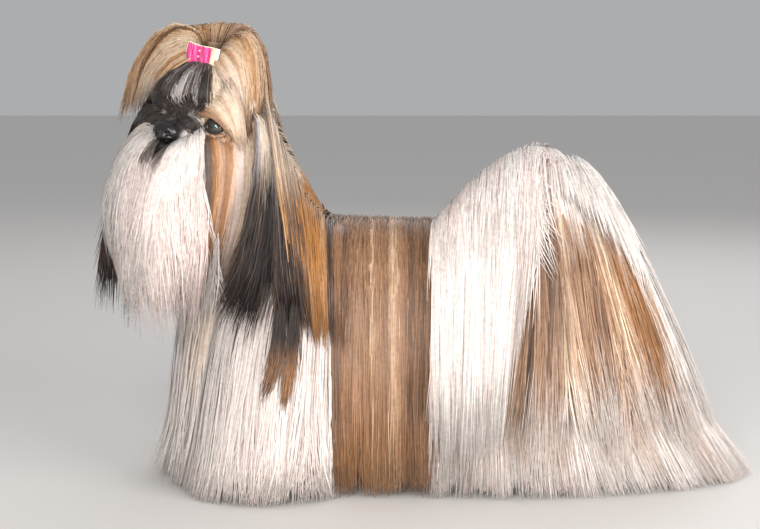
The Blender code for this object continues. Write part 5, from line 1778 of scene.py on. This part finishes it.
def head_coats(falls, add, short):
    """The coats of the head; short is the fur of the face."""
    add("coat_muzzle", "white_hair", ["muzzle"],
        comb(falls["moustache", 1], 1300, (-0.06, 1.05), (-0.08, 0.35), (0.84, 1.06), (0.0, 0.009), 0.0011,
             moustache_marks(1), 600, locks=10, pull=0.3, ragged=0.12, lift=0.005, lean=0.8, sink=0.010),
        comb(falls["moustache", -1], 1500, (-0.06, 1.05), (-0.08, 0.35), (0.80, 1.06), (0.0, 0.009), 0.0011,
             moustache_marks(-1), 601, locks=10, pull=0.3, ragged=0.14, lift=0.005, lean=0.8, sink=0.010),
        comb(falls["beard"], 850, (-0.1, 1.1), (0.0, 0.3), (0.86, 1.05), (0.0, 0.010), 0.0012,
             beard_marks, 602, locks=7, pull=0.5, ragged=0.12, lean=0.6))
    add("coat_face", "cream_hair", ["head"], short,
        comb(falls["forehead"], 1300, (-1.15, 1.15), (-0.02, 0.4), (0.97, 1.0), (0.0, 0.009), 0.0010,
             forehead_marks, 612, locks=14, pull=0.3, ragged=0.01, lean=0.2, sink=0.014),
        comb(falls["fringe"], 330, (-0.15, 1.1), (0.0, 0.35), (0.70, 1.0), (0.0, 0.003), 0.0008,
             fringe_marks, 613, locks=5, pull=0.3, ragged=0.10, sink=0.004),
        comb(falls["brow"], 520, (-0.06, 1.1), (0.0, 0.35), (0.72, 1.0), (0.0, 0.004), 0.0008,
             brow_marks, 614, locks=7, pull=0.3, ragged=0.08, sink=0.006))
    add("coat_cheeks", "gold_hair", ["head"],
        comb(falls["cheek", 1], 1450, (-0.05, 1.12), (0.0, 0.20), (0.85, 1.0), (0.0, 0.006), 0.0010,
             cheek_marks, 610, locks=12, pull=0.4, ragged=0.08, lean=0.8, sink=0.005),
        comb(falls["cheek", -1], 750, (-0.05, 1.18), (0.0, 0.35), (0.85, 1.0), (0.0, 0.006), 0.0015,
             cheek_marks, 611, locks=12, pull=0.4, ragged=0.08, lean=0.8, sink=0.003))
    add("coat_topknot", "gold_hair", ["topknot"],
        comb(falls["fan", 1], 1050, (-0.40, 1.03), (0.0, 0.3), (0.94, 1.0), (0.0, 0.009), 0.0010,
             fan_marks(1), 615, locks=16, pull=0.3, ragged=0.03, lift=0.003, lean=0.5),
        comb(falls["fan", -1], 1050, (-0.40, 1.03), (0.0, 0.3), (0.90, 1.0), (0.0, 0.009), 0.0010,
             fan_marks(-1), 616, locks=16, pull=0.3, ragged=0.05, lift=0.003, lean=0.5),
        comb(falls["topknot"], 1650, (0.09, 0.93), (0.0, 0.35), (0.85, 1.0), (0.0, 0.010), 0.0015,
             topknot_marks, 620, locks=20, pull=0.35, ragged=0.06, lift=0.004))
    for side, name in ((1, "ear_left"), (-1, "ear_right")):
        batches = [comb(falls["ear", side], 1300, (-0.05, 1.05), (0.0, 0.4), (0.78, 1.0), (0.0, 0.009),
                        0.0012, ear_marks if side > 0 else far_ear_marks, 630 + side, locks=8, pull=0.2,
                        ragged=0.12, lift=0.006, lean=0.5)]
        if side > 0:
            for seed, place in ((640, (-0.134, -0.153, 0.092)), (641, (-0.121, -0.139, 0.068))):
                batches.append(comb(wisp_fall(*place), 80, (0.0, 1.0), (0.0, 0.2), (0.75, 1.0), (0.0, 0.003),
                                    0.0010, wisp_marks, seed, locks=1, pull=0.7, ragged=0.18, lean=0.2, steps=6))
        add("coat_" + name, "dark_hair", [name], *batches)


def colour_skin(skin, roots, colours):
    """Gives the skin the markings of the coat that grows nearest, a little darker as painted shade under the
    hair.

    The muzzle's end around the nose and the eyes' lids are bare and black.
    """
    tree = KDTree(len(roots))
    for i, root in enumerate(roots):
        tree.insert(root, i)
    tree.balance()
    points = coordinates(skin.data)
    tint = np.array([colours[tree.find(point)[1]] for point in points]) * SKIN_PAINTED_SHADE
    local = from_head(points)
    lid = np.hypot((np.abs(local[:, 0]) - EYE_PLACE[0]) / LID_LENGTHENING, local[:, 1] - EYE_PLACE[1])
    x, y, z = local.T
    bare = smooth(0.015, 0.011, np.abs(x)) * smooth(0.046, 0.052, z)
    bare = bare * smooth(-0.036, -0.032, y) * smooth(0.012, 0.006, y)
    bare = np.maximum(bare, smooth(0.0086, 0.0074, lid) * (z > 0.03))
    paint(skin.data, mix(tint, BLACK, bare))


def main():
    for thing in bpy.context.scene.objects:
        thing.select_set(False)
    falls = all_falls()
    skin = body_skin(undercoat(falls))
    head = head_skin()
    short = fur(head, 4100, face_fur, 700)
    rims = [lid_rim(side) for side in TRUNK_SIDES]
    skin = joined("skin", [skin, head] + rims, skin_material())
    unwrap = unwrapped(skin)
    silk = {name: hair_material(name, roughness) for name, roughness in HAIR_ROUGHNESS.items()}
    roots, colours = [], []

    def add(name, slot, nodes, *batches):
        coat(name, batches, silk[slot], slot, nodes, unwrap)
        for corners, colour in batches:
            for ring in SKIN_COLOUR_RINGS:
                roots.append(corners[:, ring, 1])
                colours.append(colour[:, ring])

    trunk_coats(falls, add)
    rear_and_chest_coats(falls, add)
    head_coats(falls, add, short)
    colour_skin(skin, np.concatenate(roots), np.concatenate(colours))
    skin.data.transform(Matrix.Translation(Vector(SHIFT)))
    dress(skin, "cream_hair")

    glass = eye_material()
    for side in TRUNK_SIDES:
        eye(side, glass)
    nose(nose_material())
    claws(horn_material())
    # The second colour of each satin is its painted highlight.
    bow(
        satin_material("pink_satin", (0.62, 0.012, 0.16), (0.85, 0.10, 0.36), 0.26),
        satin_material("pale_satin", (0.80, 0.66, 0.48), (0.88, 0.78, 0.62), 0.35),
        satin_material("pearl", (0.85, 0.62, 0.62), (0.9, 0.75, 0.72), 0.2),
    )
    band(satin_material("dark_elastic", (0.03, 0.027, 0.025), (0.06, 0.05, 0.045), 0.7))
    studio()


main()
